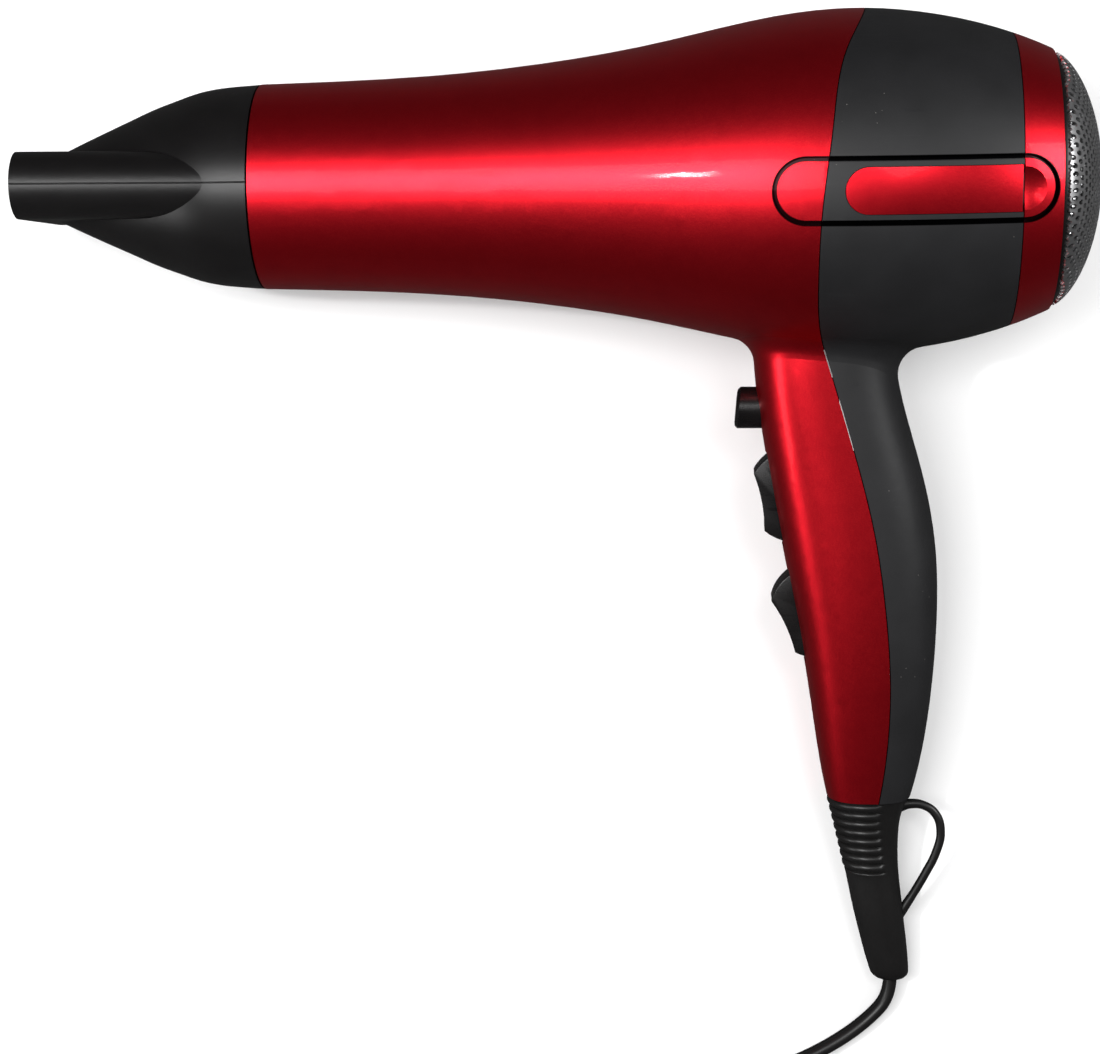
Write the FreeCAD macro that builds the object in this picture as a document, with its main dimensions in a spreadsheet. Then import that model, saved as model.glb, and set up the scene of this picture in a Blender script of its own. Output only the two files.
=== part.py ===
"""Hand-held hair dryer lying on its side: a parametric model in millimetres.

Every piece is drawn upright in the dryer's own layout and is then laid down by one placement:
x runs along the barrel from its front rim to the rear, y points up out of the handle, and z
points to the left side. The cord is drawn where it lies on the surface that carries the dryer.
"""
import FreeCAD, Part
import math
import os

import Sketcher
from FreeCAD import Placement, Rotation, Vector

os.makedirs("parts", exist_ok=True)
doc = FreeCAD.newDocument("HairDryer")

ALONG, UP, SIDE = Vector(1, 0, 0), Vector(0, 1, 0), Vector(0, 0, 1)
FAR = 120.0  # longer than any cut has to reach

# ---------------------------------------------------------------- driving dimensions
SIZES = {
    # how the dryer lies: nose down, handle end down, and where its layout's origin stands
    "nose_drop_angle": 4.13,
    "handle_drop_angle": 10.73,
    "layout_x": -73.85,
    "layout_y": 81.81,
    "layout_height": 32.09,
    # housing
    "wall": 2.0,
    "seam_gap": 0.25,
    "cap_seam": 187.0,
    "cap_bore_radius": 31.0,
    "spigot_radius": 33.6,
    "spigot_start": 181.5,
    "handle_squareness": 2.6,
    # side strip
    "strip_front": 127.8,
    "strip_rear": 195.6,
    "strip_half": 8.0,
    "strip_line": 1.2,
    "strip_depth": 1.1,
    "inlay_front": 144.9,
    "inlay_rear": 186.6,
    "inlay_half": 5.5,
    "inlay_thick": 1.1,
    # nozzle
    "nozzle_tip": -58.7,
    "nozzle_wall": 1.8,
    "blade_half_width": 28.0,
    "blade_root_half_width": 24.6,
    "blade_half_thick": 8.35,
    "nozzle_turn": 6.0,
    "sleeve_radius": 23.5,
    "sleeve_wall": 1.6,
    "fit_gap": 0.05,
    # heater
    "heater_start": 18.0,
    "heater_end": 82.0,
    "mica_radius": 23.4,
    "mica_thick": 0.8,
    "coil_radius": 20.0,
    "coil_wire": 0.9,
    "coil_pitch": 7.0,
    # motor and fan
    "motor_start": 100.0,
    "motor_end": 128.0,
    "motor_radius": 13.8,
    "rotor_radius": 9.0,
    "shaft_radius": 1.15,
    "duct_start": 106.0,
    "duct_end": 150.0,
    "duct_radius": 29.8,
    "duct_wall": 1.1,
    "fan_hub_radius": 13.2,
    "fan_tip_radius": 29.2,
    "fan_blades": 7,
    # controls on the front of the handle
    "rocker_radius": 11.9,
    "rocker_depth": 5.4,
    "rocker_half_width": 5.0,
    "rocker_swing": 14.0,
    "pin_radius": 1.5,
    "button_radius": 5.3,
    "button_front": 118.8,
    "button_travel": 3.0,
    # strain relief and cord
    "rib_count": 8,
    "cord_radius": 3.0,
    "coil_mid_radius": 33.1,
    "coil_half_band": 7.0,
    "coil_base": 0.9,
    "coil_height": 12.0,
    "prong_radius": 2.4,
    "prong_length": 19.0,
    "prong_spacing": 19.0,
}

sheet = doc.addObject("Spreadsheet::Sheet", "Sizes")
for row, (alias, value) in enumerate(SIZES.items(), start=1):
    sheet.set(f"A{row}", alias)
    sheet.set(f"B{row}", str(value))
    sheet.setAlias(f"B{row}", alias)
doc.recompute()


def size(alias):
    """The value of a cell of the sheet."""
    return float(getattr(sheet, alias))


# ---------------------------------------------------------------- outlines
# Radius of the barrel along its length, from the front rim to the rear end of the cap.
BARREL_OUTLINE = [
    (0, 25.8), (25, 26.5), (50, 27.9), (75, 30.6), (98, 34.4), (118, 38.8),
    (136, 41.9), (152, 42.6), (168, 41.0), (180, 38.4), (188, 35.9), (196.8, 32.3),
]
# Handle sections: height, middle in x, half depth in x, half thickness in z.
HANDLE_SECTIONS = [
    (-28.0, 143.2, 18.8, 17.2), (-52.0, 142.5, 18.1, 16.9), (-75.0, 147.4, 19.4, 16.7),
    (-96.0, 151.1, 19.2, 16.4), (-120.0, 153.4, 16.9, 15.4), (-140.0, 154.0, 14.4, 13.6),
    (-158.5, 153.75, 10.85, 11.2),
]
# The seam between the front and rear shells, seen from the side, from above to below.
SEAM = [
    (154.0, 50.0), (150.5, 42.0), (145.4, 32.7), (141.9, 15.2), (139.4, -5.0), (138.8, -20.0),
    (139.6, -34.5), (142.6, -46.0), (148.3, -65.1), (153.6, -85.7), (156.8, -106.4),
    (158.3, -127.4), (157.9, -142.0), (155.6, -160.0),
]
# Nozzle cone: x and radius of the outside, from the rim to inside the flat mouth.
NOZZLE_OUTLINE = [
    (-0.5, 25.7), (-6.6, 25.3), (-12.0, 24.7), (-17.0, 23.6), (-22.0, 21.9), (-27.5, 19.9),
    (-33.0, 17.5), (-40.0, 14.4), (-46.0, 11.7), (-52.0, 8.9), (-56.0, 7.0),
]
# Dome of the intake grille: x and radius of the outside.
GRILLE_OUTLINE = [
    (196.8, 31.0), (198.9, 30.3), (201.0, 28.4), (204.5, 22.5), (207.0, 15.2), (208.2, 8.0),
    (208.8, 0.0),
]
# Strain relief sections: height, middle in x, radius.
RELIEF_SECTIONS = [
    (-158.7, 153.75, 10.7), (-163.5, 153.4, 9.2), (-168.5, 153.6, 8.2), (-178.0, 154.7, 7.1),
    (-190.0, 156.6, 6.5), (-202.0, 158.8, 5.7), (-209.0, 160.1, 4.9),
]
# Hanging loop on the back of the strain relief, as a line of the wire's middle in the x-y plane.
LOOP_LINE = [
    (161.0, -162.2), (168.0, -161.9), (172.0, -164.6), (172.9, -169.5), (171.6, -175.0),
    (169.0, -180.5), (165.8, -186.5), (161.5, -193.5),
]
LOOP_WIRE = 1.15


# ---------------------------------------------------------------- helpers
pieces = []


def expression(value):
    """Sheet names inside a formula, written as FreeCAD wants them."""
    return value if "Sizes." in value else f"Sizes.{value}"


def bind(thing, name, value):
    """Give a property a number, or tie it to the sheet when the value is text."""
    if isinstance(value, str):
        thing.setExpression(name, expression(value))
    else:
        thing.setExpression(name, str(float(value)))


def put(thing, at, direction=SIDE, turn=0.0):
    """Place a primitive: its own z axis goes along the direction after a turn about it."""
    facing = Rotation(SIDE, direction).multiply(Rotation(SIDE, turn))
    thing.Placement = Placement(Vector(0, 0, 0), facing)
    for letter, value in zip("xyz", at):
        bind(thing, f"Placement.Base.{letter}", value)
    return thing


def cylinder(name, radius, length, at, direction=ALONG):
    thing = doc.addObject("Part::Cylinder", name)
    bind(thing, "Radius", radius)
    bind(thing, "Height", length)
    return put(thing, at, direction)


def box(name, low, sizes, rotation=None):
    """A box from its lowest corner, or turned about that corner."""
    thing = doc.addObject("Part::Box", name)
    for side, value in zip(("Length", "Width", "Height"), sizes):
        bind(thing, side, value)
    thing.Placement = Placement(Vector(*low), rotation or Rotation())
    return thing


def sphere(name, radius, at):
    thing = doc.addObject("Part::Sphere", name)
    bind(thing, "Radius", radius)
    return put(thing, at)


def fuse(name, shapes):
    thing = doc.addObject("Part::MultiFuse", name)
    thing.Shapes = shapes
    return thing


def common(name, first, second):
    thing = doc.addObject("Part::Common", name)
    thing.Base, thing.Tool = first, second
    return thing


def cut(name, base, tools):
    """The base without the tools, which are joined first when there are several."""
    thing = doc.addObject("Part::Cut", name)
    thing.Base = base
    thing.Tool = tools[0] if len(tools) == 1 else fuse(name + "_tools", tools)
    return thing


def group(name, members):
    thing = doc.addObject("Part::Compound", name)
    thing.Links = members
    return thing


def new_body(name):
    return doc.addObject("PartDesign::Body", name)


def new_sketch(body, role, offset=0.0):
    """A sketch on one of the body's own origin planes, moved along its normal."""
    plane = next(item for item in body.Origin.OriginFeatures if item.Role == role)
    sketch = body.newObject("Sketcher::SketchObject", "Sketch")
    sketch.AttachmentSupport = [(plane, "")]
    sketch.MapMode = "FlatFace"
    sketch.AttachmentOffset = Placement(Vector(0, 0, offset), Rotation())
    return sketch


def draw_lines(sketch, corners):
    """Straight lines from corner to corner."""
    for first, second in zip(corners, corners[1:]):
        sketch.addGeometry(Part.LineSegment(Vector(*first), Vector(*second)))


def draw_curve(sketch, points):
    """One smooth curve through the points."""
    curve = Part.BSplineCurve()
    curve.interpolate([Vector(x, y) for x, y in points])
    sketch.addGeometry(curve)


def draw_rounded(sketch, middle, half_width, half_height, squareness):
    """A closed oval; squareness 2 is an ellipse and larger values are boxier."""
    points = []
    for step in range(16):
        angle = 2 * math.pi * step / 16
        across, over = math.cos(angle), math.sin(angle)
        points.append(Vector(
            middle[0] + half_width * math.copysign(abs(across) ** (2 / squareness), across),
            middle[1] + half_height * math.copysign(abs(over) ** (2 / squareness), over)))
    curve = Part.BSplineCurve()
    curve.interpolate(points, PeriodicFlag=True)
    sketch.addGeometry(curve)


def draw_circle(sketch, middle, radius):
    """A circle whose radius is tied to the sheet when it is given as text."""
    start = size(radius) if isinstance(radius, str) else radius
    index = sketch.addGeometry(Part.Circle(Vector(*middle), SIDE, start))
    if isinstance(radius, str):
        rule = sketch.addConstraint(Sketcher.Constraint("Radius", index, start))
        sketch.setExpression(f"Constraints[{rule}]", expression(radius))


def turned(name, corners, curve=None):
    """A body turned about the barrel's axis from (x, radius) corners and an optional curve."""
    body = new_body(name)
    sketch = new_sketch(body, "XY_Plane")
    if curve:
        draw_curve(sketch, curve)
        draw_lines(sketch, [curve[-1]] + corners + [curve[0]])
    else:
        draw_lines(sketch, corners + [corners[0]])
    turn = body.newObject("PartDesign::Revolution", "Revolution")
    turn.Profile = sketch
    turn.ReferenceAxis = (sketch, ["H_Axis"])
    turn.Angle = 360
    sketch.Visibility = False
    return body


def tube(name, inner, outer, start, end):
    return turned(name, [(start, inner), (end, inner), (end, outer), (start, outer)])


def pad(body, sketch, length, both_ways=True, type_name="PartDesign::Pad"):
    """Extrude a sketch, evenly to both sides unless told otherwise."""
    feature = body.newObject(type_name, "Pad")
    feature.Profile = sketch
    feature.Midplane = both_ways
    bind(feature, "Length", length)
    return feature


def loft(body, sketches):
    feature = body.newObject("PartDesign::AdditiveLoft", "Loft")
    feature.Profile = sketches[0]
    feature.Sections = sketches[1:]
    return feature


def lay_down():
    """The placement that lays the upright layout on its side."""
    turn = Rotation(UP, -size("nose_drop_angle")).multiply(Rotation(ALONG, size("handle_drop_angle")))
    return Placement(Vector(size("layout_x"), size("layout_y"), size("layout_height")), turn)


def finished(thing, label, lying=True):
    """Name a sub-part and lay it down with the rest."""
    thing.Label = label
    doc.recompute()
    if lying:
        thing.Placement = lay_down()
    pieces.append(thing)
    return thing


# ---------------------------------------------------------------- housing
def barrel_radius(x):
    """Outer radius of the barrel at a place along it, between the outline's points."""
    curve = Part.BSplineCurve()
    curve.interpolate([Vector(a, r, 0) for a, r in BARREL_OUTLINE])
    plane_line = Part.LineSegment(Vector(x, 0, 0), Vector(x, FAR, 0))
    return curve.intersectCC(plane_line)[0].Y


def housing_form(name, inset, overrun=0.0):
    """Barrel and handle as one solid, lying inside the outer skin by the inset."""
    curve = [(x, r - inset) for x, r in BARREL_OUTLINE]
    first, last = curve[0], curve[-1]
    if overrun:
        corners = [(last[0] + overrun, last[1]), (last[0] + overrun, 0), (first[0] - overrun, 0),
                   (first[0] - overrun, first[1])]
    else:
        corners = [(last[0], 0), (first[0], 0)]
    body = turned(name, corners, curve)
    sections = []
    for height, middle, half_depth, half_thick in HANDLE_SECTIONS:
        sketch = new_sketch(body, "XZ_Plane", -height)
        draw_rounded(sketch, (middle, 0), half_depth - inset, half_thick - inset,
                     size("handle_squareness"))
        sections.append(sketch)
    if overrun:
        height, middle, half_depth, half_thick = HANDLE_SECTIONS[-1]
        sketch = new_sketch(body, "XZ_Plane", -height + overrun)
        draw_rounded(sketch, (middle, 0), half_depth - inset, half_thick - inset,
                     size("handle_squareness"))
        sections.append(sketch)
    loft(body, sections)
    return body


def round_junction(body, radius):
    """Blend the handle into the barrel along the line where they meet."""
    doc.recompute()
    names = []
    for index, edge in enumerate(body.Tip.Shape.Edges, start=1):
        reach = edge.BoundBox
        if reach.YMax < -30 and reach.YMin > -50 and reach.ZLength > 2 and reach.XMin > 110:
            names.append(f"Edge{index}")
    joined = body.Tip
    blend = body.newObject("PartDesign::Fillet", "Blend")
    blend.Base = (joined, names)
    blend.Radius = radius


def front_region(name, shift=0.0):
    """Everything in front of the seam, moved back by the shift."""
    body = new_body(name)
    sketch = new_sketch(body, "XY_Plane")
    curve = [(x + shift, y) for x, y in SEAM]
    draw_curve(sketch, curve)
    draw_lines(sketch, [curve[-1], (-FAR, curve[-1][1]), (-FAR, curve[0][1]), curve[0]])
    pad(body, sketch, FAR)
    return body


def strip_prism(name, front, rear, half, grow=0.0, square_rear=False):
    """An upright plate with a round front end, and a round or square rear end."""
    body = new_body(name)
    sketch = new_sketch(body, "XY_Plane")
    half = half + grow
    left = front - grow + half
    right = rear if square_rear else rear + grow - half
    sketch.addGeometry(Part.Arc(Vector(left, half), Vector(left - half, 0), Vector(left, -half)))
    if square_rear:
        draw_lines(sketch, [(left, -half), (right, -half), (right, half), (left, half)])
    else:
        draw_lines(sketch, [(left, -half), (right, -half)])
        sketch.addGeometry(Part.Arc(Vector(right, -half), Vector(right + half, 0), Vector(right, half)))
        draw_lines(sketch, [(right, half), (left, half)])
    pad(body, sketch, FAR)
    return body


# ---------------------------------------------------------------- controls' places
FACE_SLOPE = math.atan2(9.5, 51.6)
FACE_OUT = Vector(-math.cos(FACE_SLOPE), -math.sin(FACE_SLOPE), 0)
FACE_UP = Vector(-math.sin(FACE_SLOPE), math.cos(FACE_SLOPE), 0)
HEAT_ROCKER_AT = Vector(129.05, -80.0, 0)
SPEED_ROCKER_AT = Vector(134.6, -110.3, 0)
BUTTON_HEIGHT = -56.9
SCREW_HEIGHTS = (-94.4, -134.0)


def on_face(middle, out, up, side=0.0):
    """A point of a switch's own layout: out of the handle, up along it, and sideways."""
    return middle + FACE_OUT * out + FACE_UP * up + SIDE * side


def face_block(name, middle, out_range, up_range, side_range):
    """A block standing square to the front of the handle."""
    corner = on_face(middle, out_range[0], up_range[0], side_range[0])
    turn = Rotation(FACE_OUT, FACE_UP, SIDE, "XYZ")
    sizes = [high - low for low, high in (out_range, up_range, side_range)]
    if FACE_OUT.cross(FACE_UP).z < 0:
        corner = on_face(middle, out_range[0], up_range[0], side_range[1])
        turn = Rotation(FACE_OUT, FACE_UP, FACE_OUT.cross(FACE_UP), "XYZ")
    return box(name, corner, sizes, turn)


def rocker_pivot(middle):
    return on_face(middle, -size("rocker_depth"), 0)


# ---------------------------------------------------------------- shells
outer_form = housing_form("outer_form", 0.0)
round_junction(outer_form, 7.0)
inner_form = housing_form("inner_form", size("wall"), overrun=3.0)
skin_of_housing = cut("skin_of_housing", outer_form, [inner_form])
core_form = housing_form("core_form", size("strip_depth"), overrun=3.0)

strip_outside = strip_prism("strip_outside", size("strip_front"), size("strip_rear"),
                            size("strip_half"))
strip_inside = strip_prism("strip_inside", size("strip_front"), size("strip_rear"),
                           size("strip_half"), grow=-size("strip_line"))
strip_line = cut("strip_line", strip_outside, [strip_inside, core_form])
doc.recompute()


def shapes(things):
    """The shapes of freshly worked out objects."""
    doc.recompute()
    return [thing.Shape for thing in things]


def own_shape(name, shape):
    """A sub-part whose shape is worked out here from the forms and the sheet's values."""
    thing = doc.addObject("Part::Feature", name)
    thing.Shape = shape
    return thing


def build_front_shell():
    posts, holes = [], []
    for number, height in enumerate(SCREW_HEIGHTS, start=1):
        posts.append(cylinder(f"front_post_{number}", 2.3, 26.0, (131.5, height, 0)))
        holes.append(cylinder(f"front_post_hole_{number}", 1.4, 16.0, (142.0, height, 0)))
    half = size("rocker_half_width") + 0.45
    reach = size("rocker_radius") + 0.35
    for number, middle in enumerate((HEAT_ROCKER_AT, SPEED_ROCKER_AT), start=1):
        holes.append(face_block(f"rocker_window_{number}", middle, (-9, 9), (-reach, reach),
                                (-half, half)))
    holes.append(cylinder("button_window", size("button_radius") + 0.3, 14.0,
                          (118.0, BUTTON_HEIGHT, 0)))
    outer, skin, front, line = shapes([outer_form, skin_of_housing, front_region("front_side"),
                                       strip_line])
    solid = skin.common(front)
    solid = solid.fuse([post.common(outer) for post in shapes(posts)])
    return own_shape("front_shell_solid", solid.cut([line] + shapes(holes)))


def build_rear_shell():
    pocket_plate = strip_prism("inlay_pocket_plate", size("inlay_front"), size("inlay_rear") + 2,
                               size("inlay_half"), grow=0.15, square_rear=True)
    posts, holes = [], []
    for number, height in enumerate(SCREW_HEIGHTS, start=1):
        posts.append(cylinder(f"rear_post_{number}", 4.6, 20.0, (158.2, height, 0)))
        holes.append(cylinder(f"screw_hole_{number}", 1.7, 20.0, (155.0, height, 0)))
        holes.append(cylinder(f"screw_head_hole_{number}", 3.1, 20.0, (161.0, height, 0)))
    in_front = front_region("rear_side", size("seam_gap"))
    cap_zone = box("cap_zone", (size("cap_seam") - 0.1, -60, -60), (30, 120, 120))
    inlay_core = housing_form("inlay_pocket_core", size("inlay_thick"), overrun=3.0)
    outer, skin, front, rear_end, plate, core, line = shapes(
        [outer_form, skin_of_housing, in_front, cap_zone, pocket_plate, inlay_core, strip_line])
    solid = skin.cut(front).cut(rear_end)
    solid = solid.fuse([post.common(outer) for post in shapes(posts)])
    return own_shape("rear_shell_solid", solid.cut([line, plate.cut(core)] + shapes(holes)))


def build_rear_cap():
    zone = tube("cap_ring_zone", size("cap_bore_radius"), 60, size("cap_seam") + 0.15, 210)
    spigot = tube("cap_spigot", size("cap_bore_radius"), size("spigot_radius"),
                  size("spigot_start"), size("cap_seam") + 1.0)
    dimple_radius, dimple_depth = 12.0, 0.8
    middle = 190.8
    lift = barrel_radius(middle) + dimple_radius - dimple_depth
    dimples = [sphere(f"dimple_{number}", dimple_radius, (middle, 0, side * lift))
               for number, side in enumerate((1, -1), start=1)]
    outer, ring, stub, line = shapes([outer_form, zone, spigot, strip_line])
    return own_shape("rear_cap_solid", outer.common(ring).fuse(stub).cut([line] + shapes(dimples)))


def build_inlay(side_name, direction):
    plate = strip_prism(f"inlay_plate_{side_name}", size("inlay_front"), size("inlay_rear"),
                        size("inlay_half"), square_rear=True)
    core = housing_form(f"inlay_core_{side_name}", size("inlay_thick"), overrun=3.0)
    side = box(f"inlay_side_{side_name}", (100, -20, 0 if direction > 0 else -60), (100, 40, 60))
    outer, slab, inside, half = shapes([outer_form, plate, core, side])
    return own_shape(f"inlay_solid_{side_name}", slab.common(half).common(outer).cut(inside))


finished(build_front_shell(), "front_shell")
finished(build_rear_shell(), "rear_shell")
finished(build_rear_cap(), "rear_cap")
finished(build_inlay("left", 1), "side_inlay_left")
finished(build_inlay("right", -1), "side_inlay_right")


# ---------------------------------------------------------------- intake
def build_intake_grille():
    """A thin dome with rings of round holes and a skirt that sits in the cap's bore."""
    thick, back, spacing = 1.0, 193.5, 5.0
    rim = GRILLE_OUTLINE[0][1]
    inside = [(x - thick, r * (rim - thick) / rim) for x, r in GRILLE_OUTLINE]
    dome = turned("grille_dome", [(back, 0), (back, rim)], GRILLE_OUTLINE)
    hollow = turned("grille_hollow", [(back - 1, 0), (back - 1, rim - thick)], inside)
    holes = [cylinder("grille_hole", 1.5, 30, (190, 0, 0))]
    for ring in range(1, 6):
        for step in range(6 * ring):
            angle = 2 * math.pi * (step + 0.5) / (6 * ring)
            holes.append(cylinder("grille_hole", 1.5, 30, (
                190, spacing * ring * math.cos(angle), spacing * ring * math.sin(angle))))
    return cut("grille_solid", dome, [hollow] + holes)


finished(build_intake_grille(), "intake_grille")
finished(tube("lint_filter_disc", 3.0, size("cap_bore_radius"), 189.6, 190.4), "lint_filter")


# ---------------------------------------------------------------- nozzle
def blade_form(name, stations, thick):
    """The flat mouth: a stadium that widens a little from one (x, half width) to the other."""
    body = new_body(name)
    sections = []
    for x, half_width in stations:
        sketch = new_sketch(body, "YZ_Plane", x)
        reach = half_width - thick
        sketch.addGeometry(Part.Arc(Vector(thick, reach), Vector(0, reach + thick),
                                    Vector(-thick, reach)))
        draw_lines(sketch, [(-thick, reach), (-thick, -reach)])
        sketch.addGeometry(Part.Arc(Vector(-thick, -reach), Vector(0, -reach - thick),
                                    Vector(thick, -reach)))
        draw_lines(sketch, [(thick, -reach), (thick, reach)])
        sections.append(sketch)
    loft(body, sections)
    return body


def build_nozzle():
    wall = size("nozzle_wall")
    outline = NOZZLE_OUTLINE
    cone = turned("nozzle_cone", [(outline[-1][0], 0), (outline[0][0], 0)], outline)
    bore = size("sleeve_radius") + size("fit_gap")
    inside = [(x, r - wall - 0.2) for x, r in outline if -50.0 < x < -10.0]
    groove = bore + 0.95
    hollow = turned("nozzle_hollow", [
        (inside[-1][0], 0), (1, 0), (1, bore), (-7.5, bore), (-7.5, groove), (-10.0, groove),
        (-10.0, inside[0][1])], inside)
    tip, half_width = size("nozzle_tip"), size("blade_half_width")
    half_thick, root = size("blade_half_thick"), size("blade_root_half_width")
    blade = blade_form("nozzle_blade", [(-8.0, root), (tip, half_width)], half_thick)
    channel = blade_form("nozzle_channel", [(-12.0, root - wall - 1.6), (tip - 1, half_width - wall)],
                         half_thick - wall)
    outer_cone, outer_blade, inner_cone, inner_blade = shapes([cone, blade, hollow, channel])
    return own_shape("nozzle_solid", outer_cone.fuse(outer_blade).cut([inner_cone, inner_blade]))


nozzle = finished(build_nozzle(), "nozzle")
nozzle.Placement = lay_down().multiply(
    Placement(Vector(0, 0, 0), Rotation(ALONG, -size("nozzle_turn"))))

sleeve_inner = size("sleeve_radius") - size("sleeve_wall")
finished(turned("sleeve_ring", [
    (-9.6, sleeve_inner), (11.0, sleeve_inner), (11.0, size("sleeve_radius") - 0.4),
    (9.0, size("sleeve_radius")), (-7.9, size("sleeve_radius")),
    (-7.9, size("sleeve_radius") + 0.7), (-9.6, size("sleeve_radius") + 0.7)]), "nozzle_sleeve")


def build_outlet_grille():
    """Three rings joined by spokes, across the mouth behind the sleeve."""
    front, back = 12.5, 15.0
    rings = [tube("outlet_ring", radius - 1.4, radius, front, back) for radius in (23.5, 15.5, 7.5)]
    spokes = []
    for step in range(6):
        spoke = doc.addObject("Part::Box", "outlet_spoke")
        spoke.Length, spoke.Width, spoke.Height = back - front, 1.4, 17.0
        turn = Rotation(ALONG, 60 * step)
        spoke.Placement = Placement(turn.multVec(Vector(front, -0.7, 6.2)), turn)
        spokes.append(spoke)
    return fuse("outlet_grille_solid", rings + spokes)


finished(build_outlet_grille(), "outlet_grille")


# ---------------------------------------------------------------- heater
def coil_notches(name):
    """Room for the wire where it crosses the two boards' edges."""
    notches = []
    turns = int((size("heater_end") - size("heater_start") - 16) / size("coil_pitch"))
    for quarter in range(4 * turns + 1):
        x = size("heater_start") + 8 + size("coil_pitch") * quarter / 4
        angle = math.pi / 2 * quarter
        middle = Vector(x, size("coil_radius") * math.sin(angle), -size("coil_radius") * math.cos(angle))
        notches.append(box(f"{name}_{quarter}", middle - Vector(1.3, 1.3, 1.3), (2.6, 2.6, 2.6)))
    return notches


def build_board(name, upright):
    """A mica board notched at its edges, half lapped with the other one."""
    start, end = size("heater_start"), size("heater_end")
    half, thick = size("mica_radius") - 0.9, size("mica_thick")
    lap = (start + end) / 2
    if upright:
        plate = box(name + "_plate", (start, -half, -thick / 2), (end - start, 2 * half, thick))
        slot = box(name + "_slot", (lap, -thick / 2, -5), (end, thick, 10))
    else:
        plate = box(name + "_plate", (start, -thick / 2, -half), (end - start, thick, 2 * half))
        slot = box(name + "_slot", (0, -5, -thick / 2), (lap, 10, thick))
    return cut(name + "_solid", plate, [slot] + coil_notches(name + "_notch"))


def build_heater_coil():
    """The heating wire's winding, as one wire of the spring's outer size wound round the boards."""
    turns = int((size("heater_end") - size("heater_start") - 16) / size("coil_pitch"))
    helix = Part.makeHelix(size("coil_pitch"), size("coil_pitch") * turns, size("coil_radius"))
    start = helix.Edges[0].valueAt(helix.Edges[0].FirstParameter)
    along = helix.Edges[0].tangentAt(helix.Edges[0].FirstParameter)
    section = Part.Wire(Part.makeCircle(size("coil_wire"), start, along))
    solid = Part.Wire(helix).makePipeShell([section], True, True)
    turn = Placement(Vector(size("heater_start") + 8, 0, 0), Rotation(SIDE, ALONG))
    return solid.transformGeometry(turn.toMatrix())


finished(tube("mica_tube", size("mica_radius") - 0.5, size("mica_radius"),
              size("heater_start"), size("heater_end") + 1), "mica_sleeve")
finished(build_board("upright_board", True), "heater_board_upright")
finished(build_board("flat_board", False), "heater_board_flat")
finished(own_shape("heater_coil_solid", build_heater_coil()), "heater_coil")
finished(group("thermostat_body", [
    box("thermostat_box", (60, 4, 0.4), (10, 8, 3.2))]), "thermostat")
finished(group("fuse_body", [cylinder("fuse_tube", 1.6, 11, (26, 8, 2.0))]), "thermal_fuse")


# ---------------------------------------------------------------- motor and fan
def build_motor():
    can_radius, start, end = size("motor_radius"), size("motor_start"), size("motor_end")
    finished(turned("motor_can_solid", [
        (start, can_radius - 1), (end - 1, can_radius - 1), (end - 1, 4.0), (end + 3, 4.0),
        (end + 3, 5.0), (end, 5.0), (end, can_radius), (start, can_radius)]), "motor_can")
    bush_bore = size("shaft_radius") + size("fit_gap")
    finished(turned("motor_endcap_solid", [
        (start - 3, 4.0), (start, 4.0), (start, can_radius - 1), (start - 0.01, can_radius),
        (start - 3, can_radius - 0.6)]), "motor_endcap")
    finished(group("motor_bush_pair", [
        tube("front_bush", bush_bore, 4.0, start - 3, start),
        tube("rear_bush", bush_bore, 4.0, end, end + 3)]), "motor_bushes")
    finished(group("shaft_solid", [
        cylinder("shaft_bar", "shaft_radius", end + 18 - (start - 5), (start - 5, 0, 0))]), "motor_shaft")
    core = tube("rotor_core", size("shaft_radius"), size("rotor_radius"), start + 4, end - 6)
    slots = []
    for step in range(5):
        slot = doc.addObject("Part::Box", "rotor_slot")
        slot.Length, slot.Width, slot.Height = end - start, 2.4, 6
        turn = Rotation(ALONG, 72 * step)
        slot.Placement = Placement(turn.multVec(Vector(start, -1.2, 4.2)), turn)
        slots.append(slot)
    finished(cut("rotor_solid", core, slots), "motor_rotor")
    ring = tube("magnet_ring", size("rotor_radius") + 0.6, can_radius - 1, start + 4, end - 6)
    gap = box("magnet_gap", (start, -20, -2.5), (end - start, 40, 5))
    finished(cut("magnet_pair", ring, [gap]), "motor_magnets")


def radial_blades(name, count, inner, outer, start, end, lean, thick=1.1):
    """Flat blades leaning against the airflow, trimmed to a ring between two radii."""
    ring = tube(name + "_zone", inner, outer, start, end)
    blades = []
    for step in range(count):
        blade = doc.addObject("Part::Box", name)
        blade.Length, blade.Width, blade.Height = 40, thick, outer + 5
        turn = Rotation(ALONG, 360 * step / count).multiply(Rotation(SIDE, lean))
        middle = Vector((start + end) / 2, 0, 0)
        blade.Placement = Placement(middle + turn.multVec(Vector(-20, -thick / 2, 0)), turn)
        blades.append(blade)
    return common(name + "_trimmed", fuse(name + "_set", blades), ring)


def build_duct():
    start, end = size("duct_start"), size("duct_end")
    inner = size("duct_radius")
    shell = tube("duct_tube", inner, inner + size("duct_wall"), start, end)
    rim = tube("duct_rim", inner, 40.0, end - 2, end)
    cup = tube("motor_cup", size("motor_radius"), size("motor_radius") + 1.2, start, 124)
    vanes = radial_blades("stator_vane", 6, size("motor_radius") + 0.6, inner + 0.5, start, 124, 12)
    return fuse("duct_solid", [shell, rim, cup, vanes])


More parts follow.
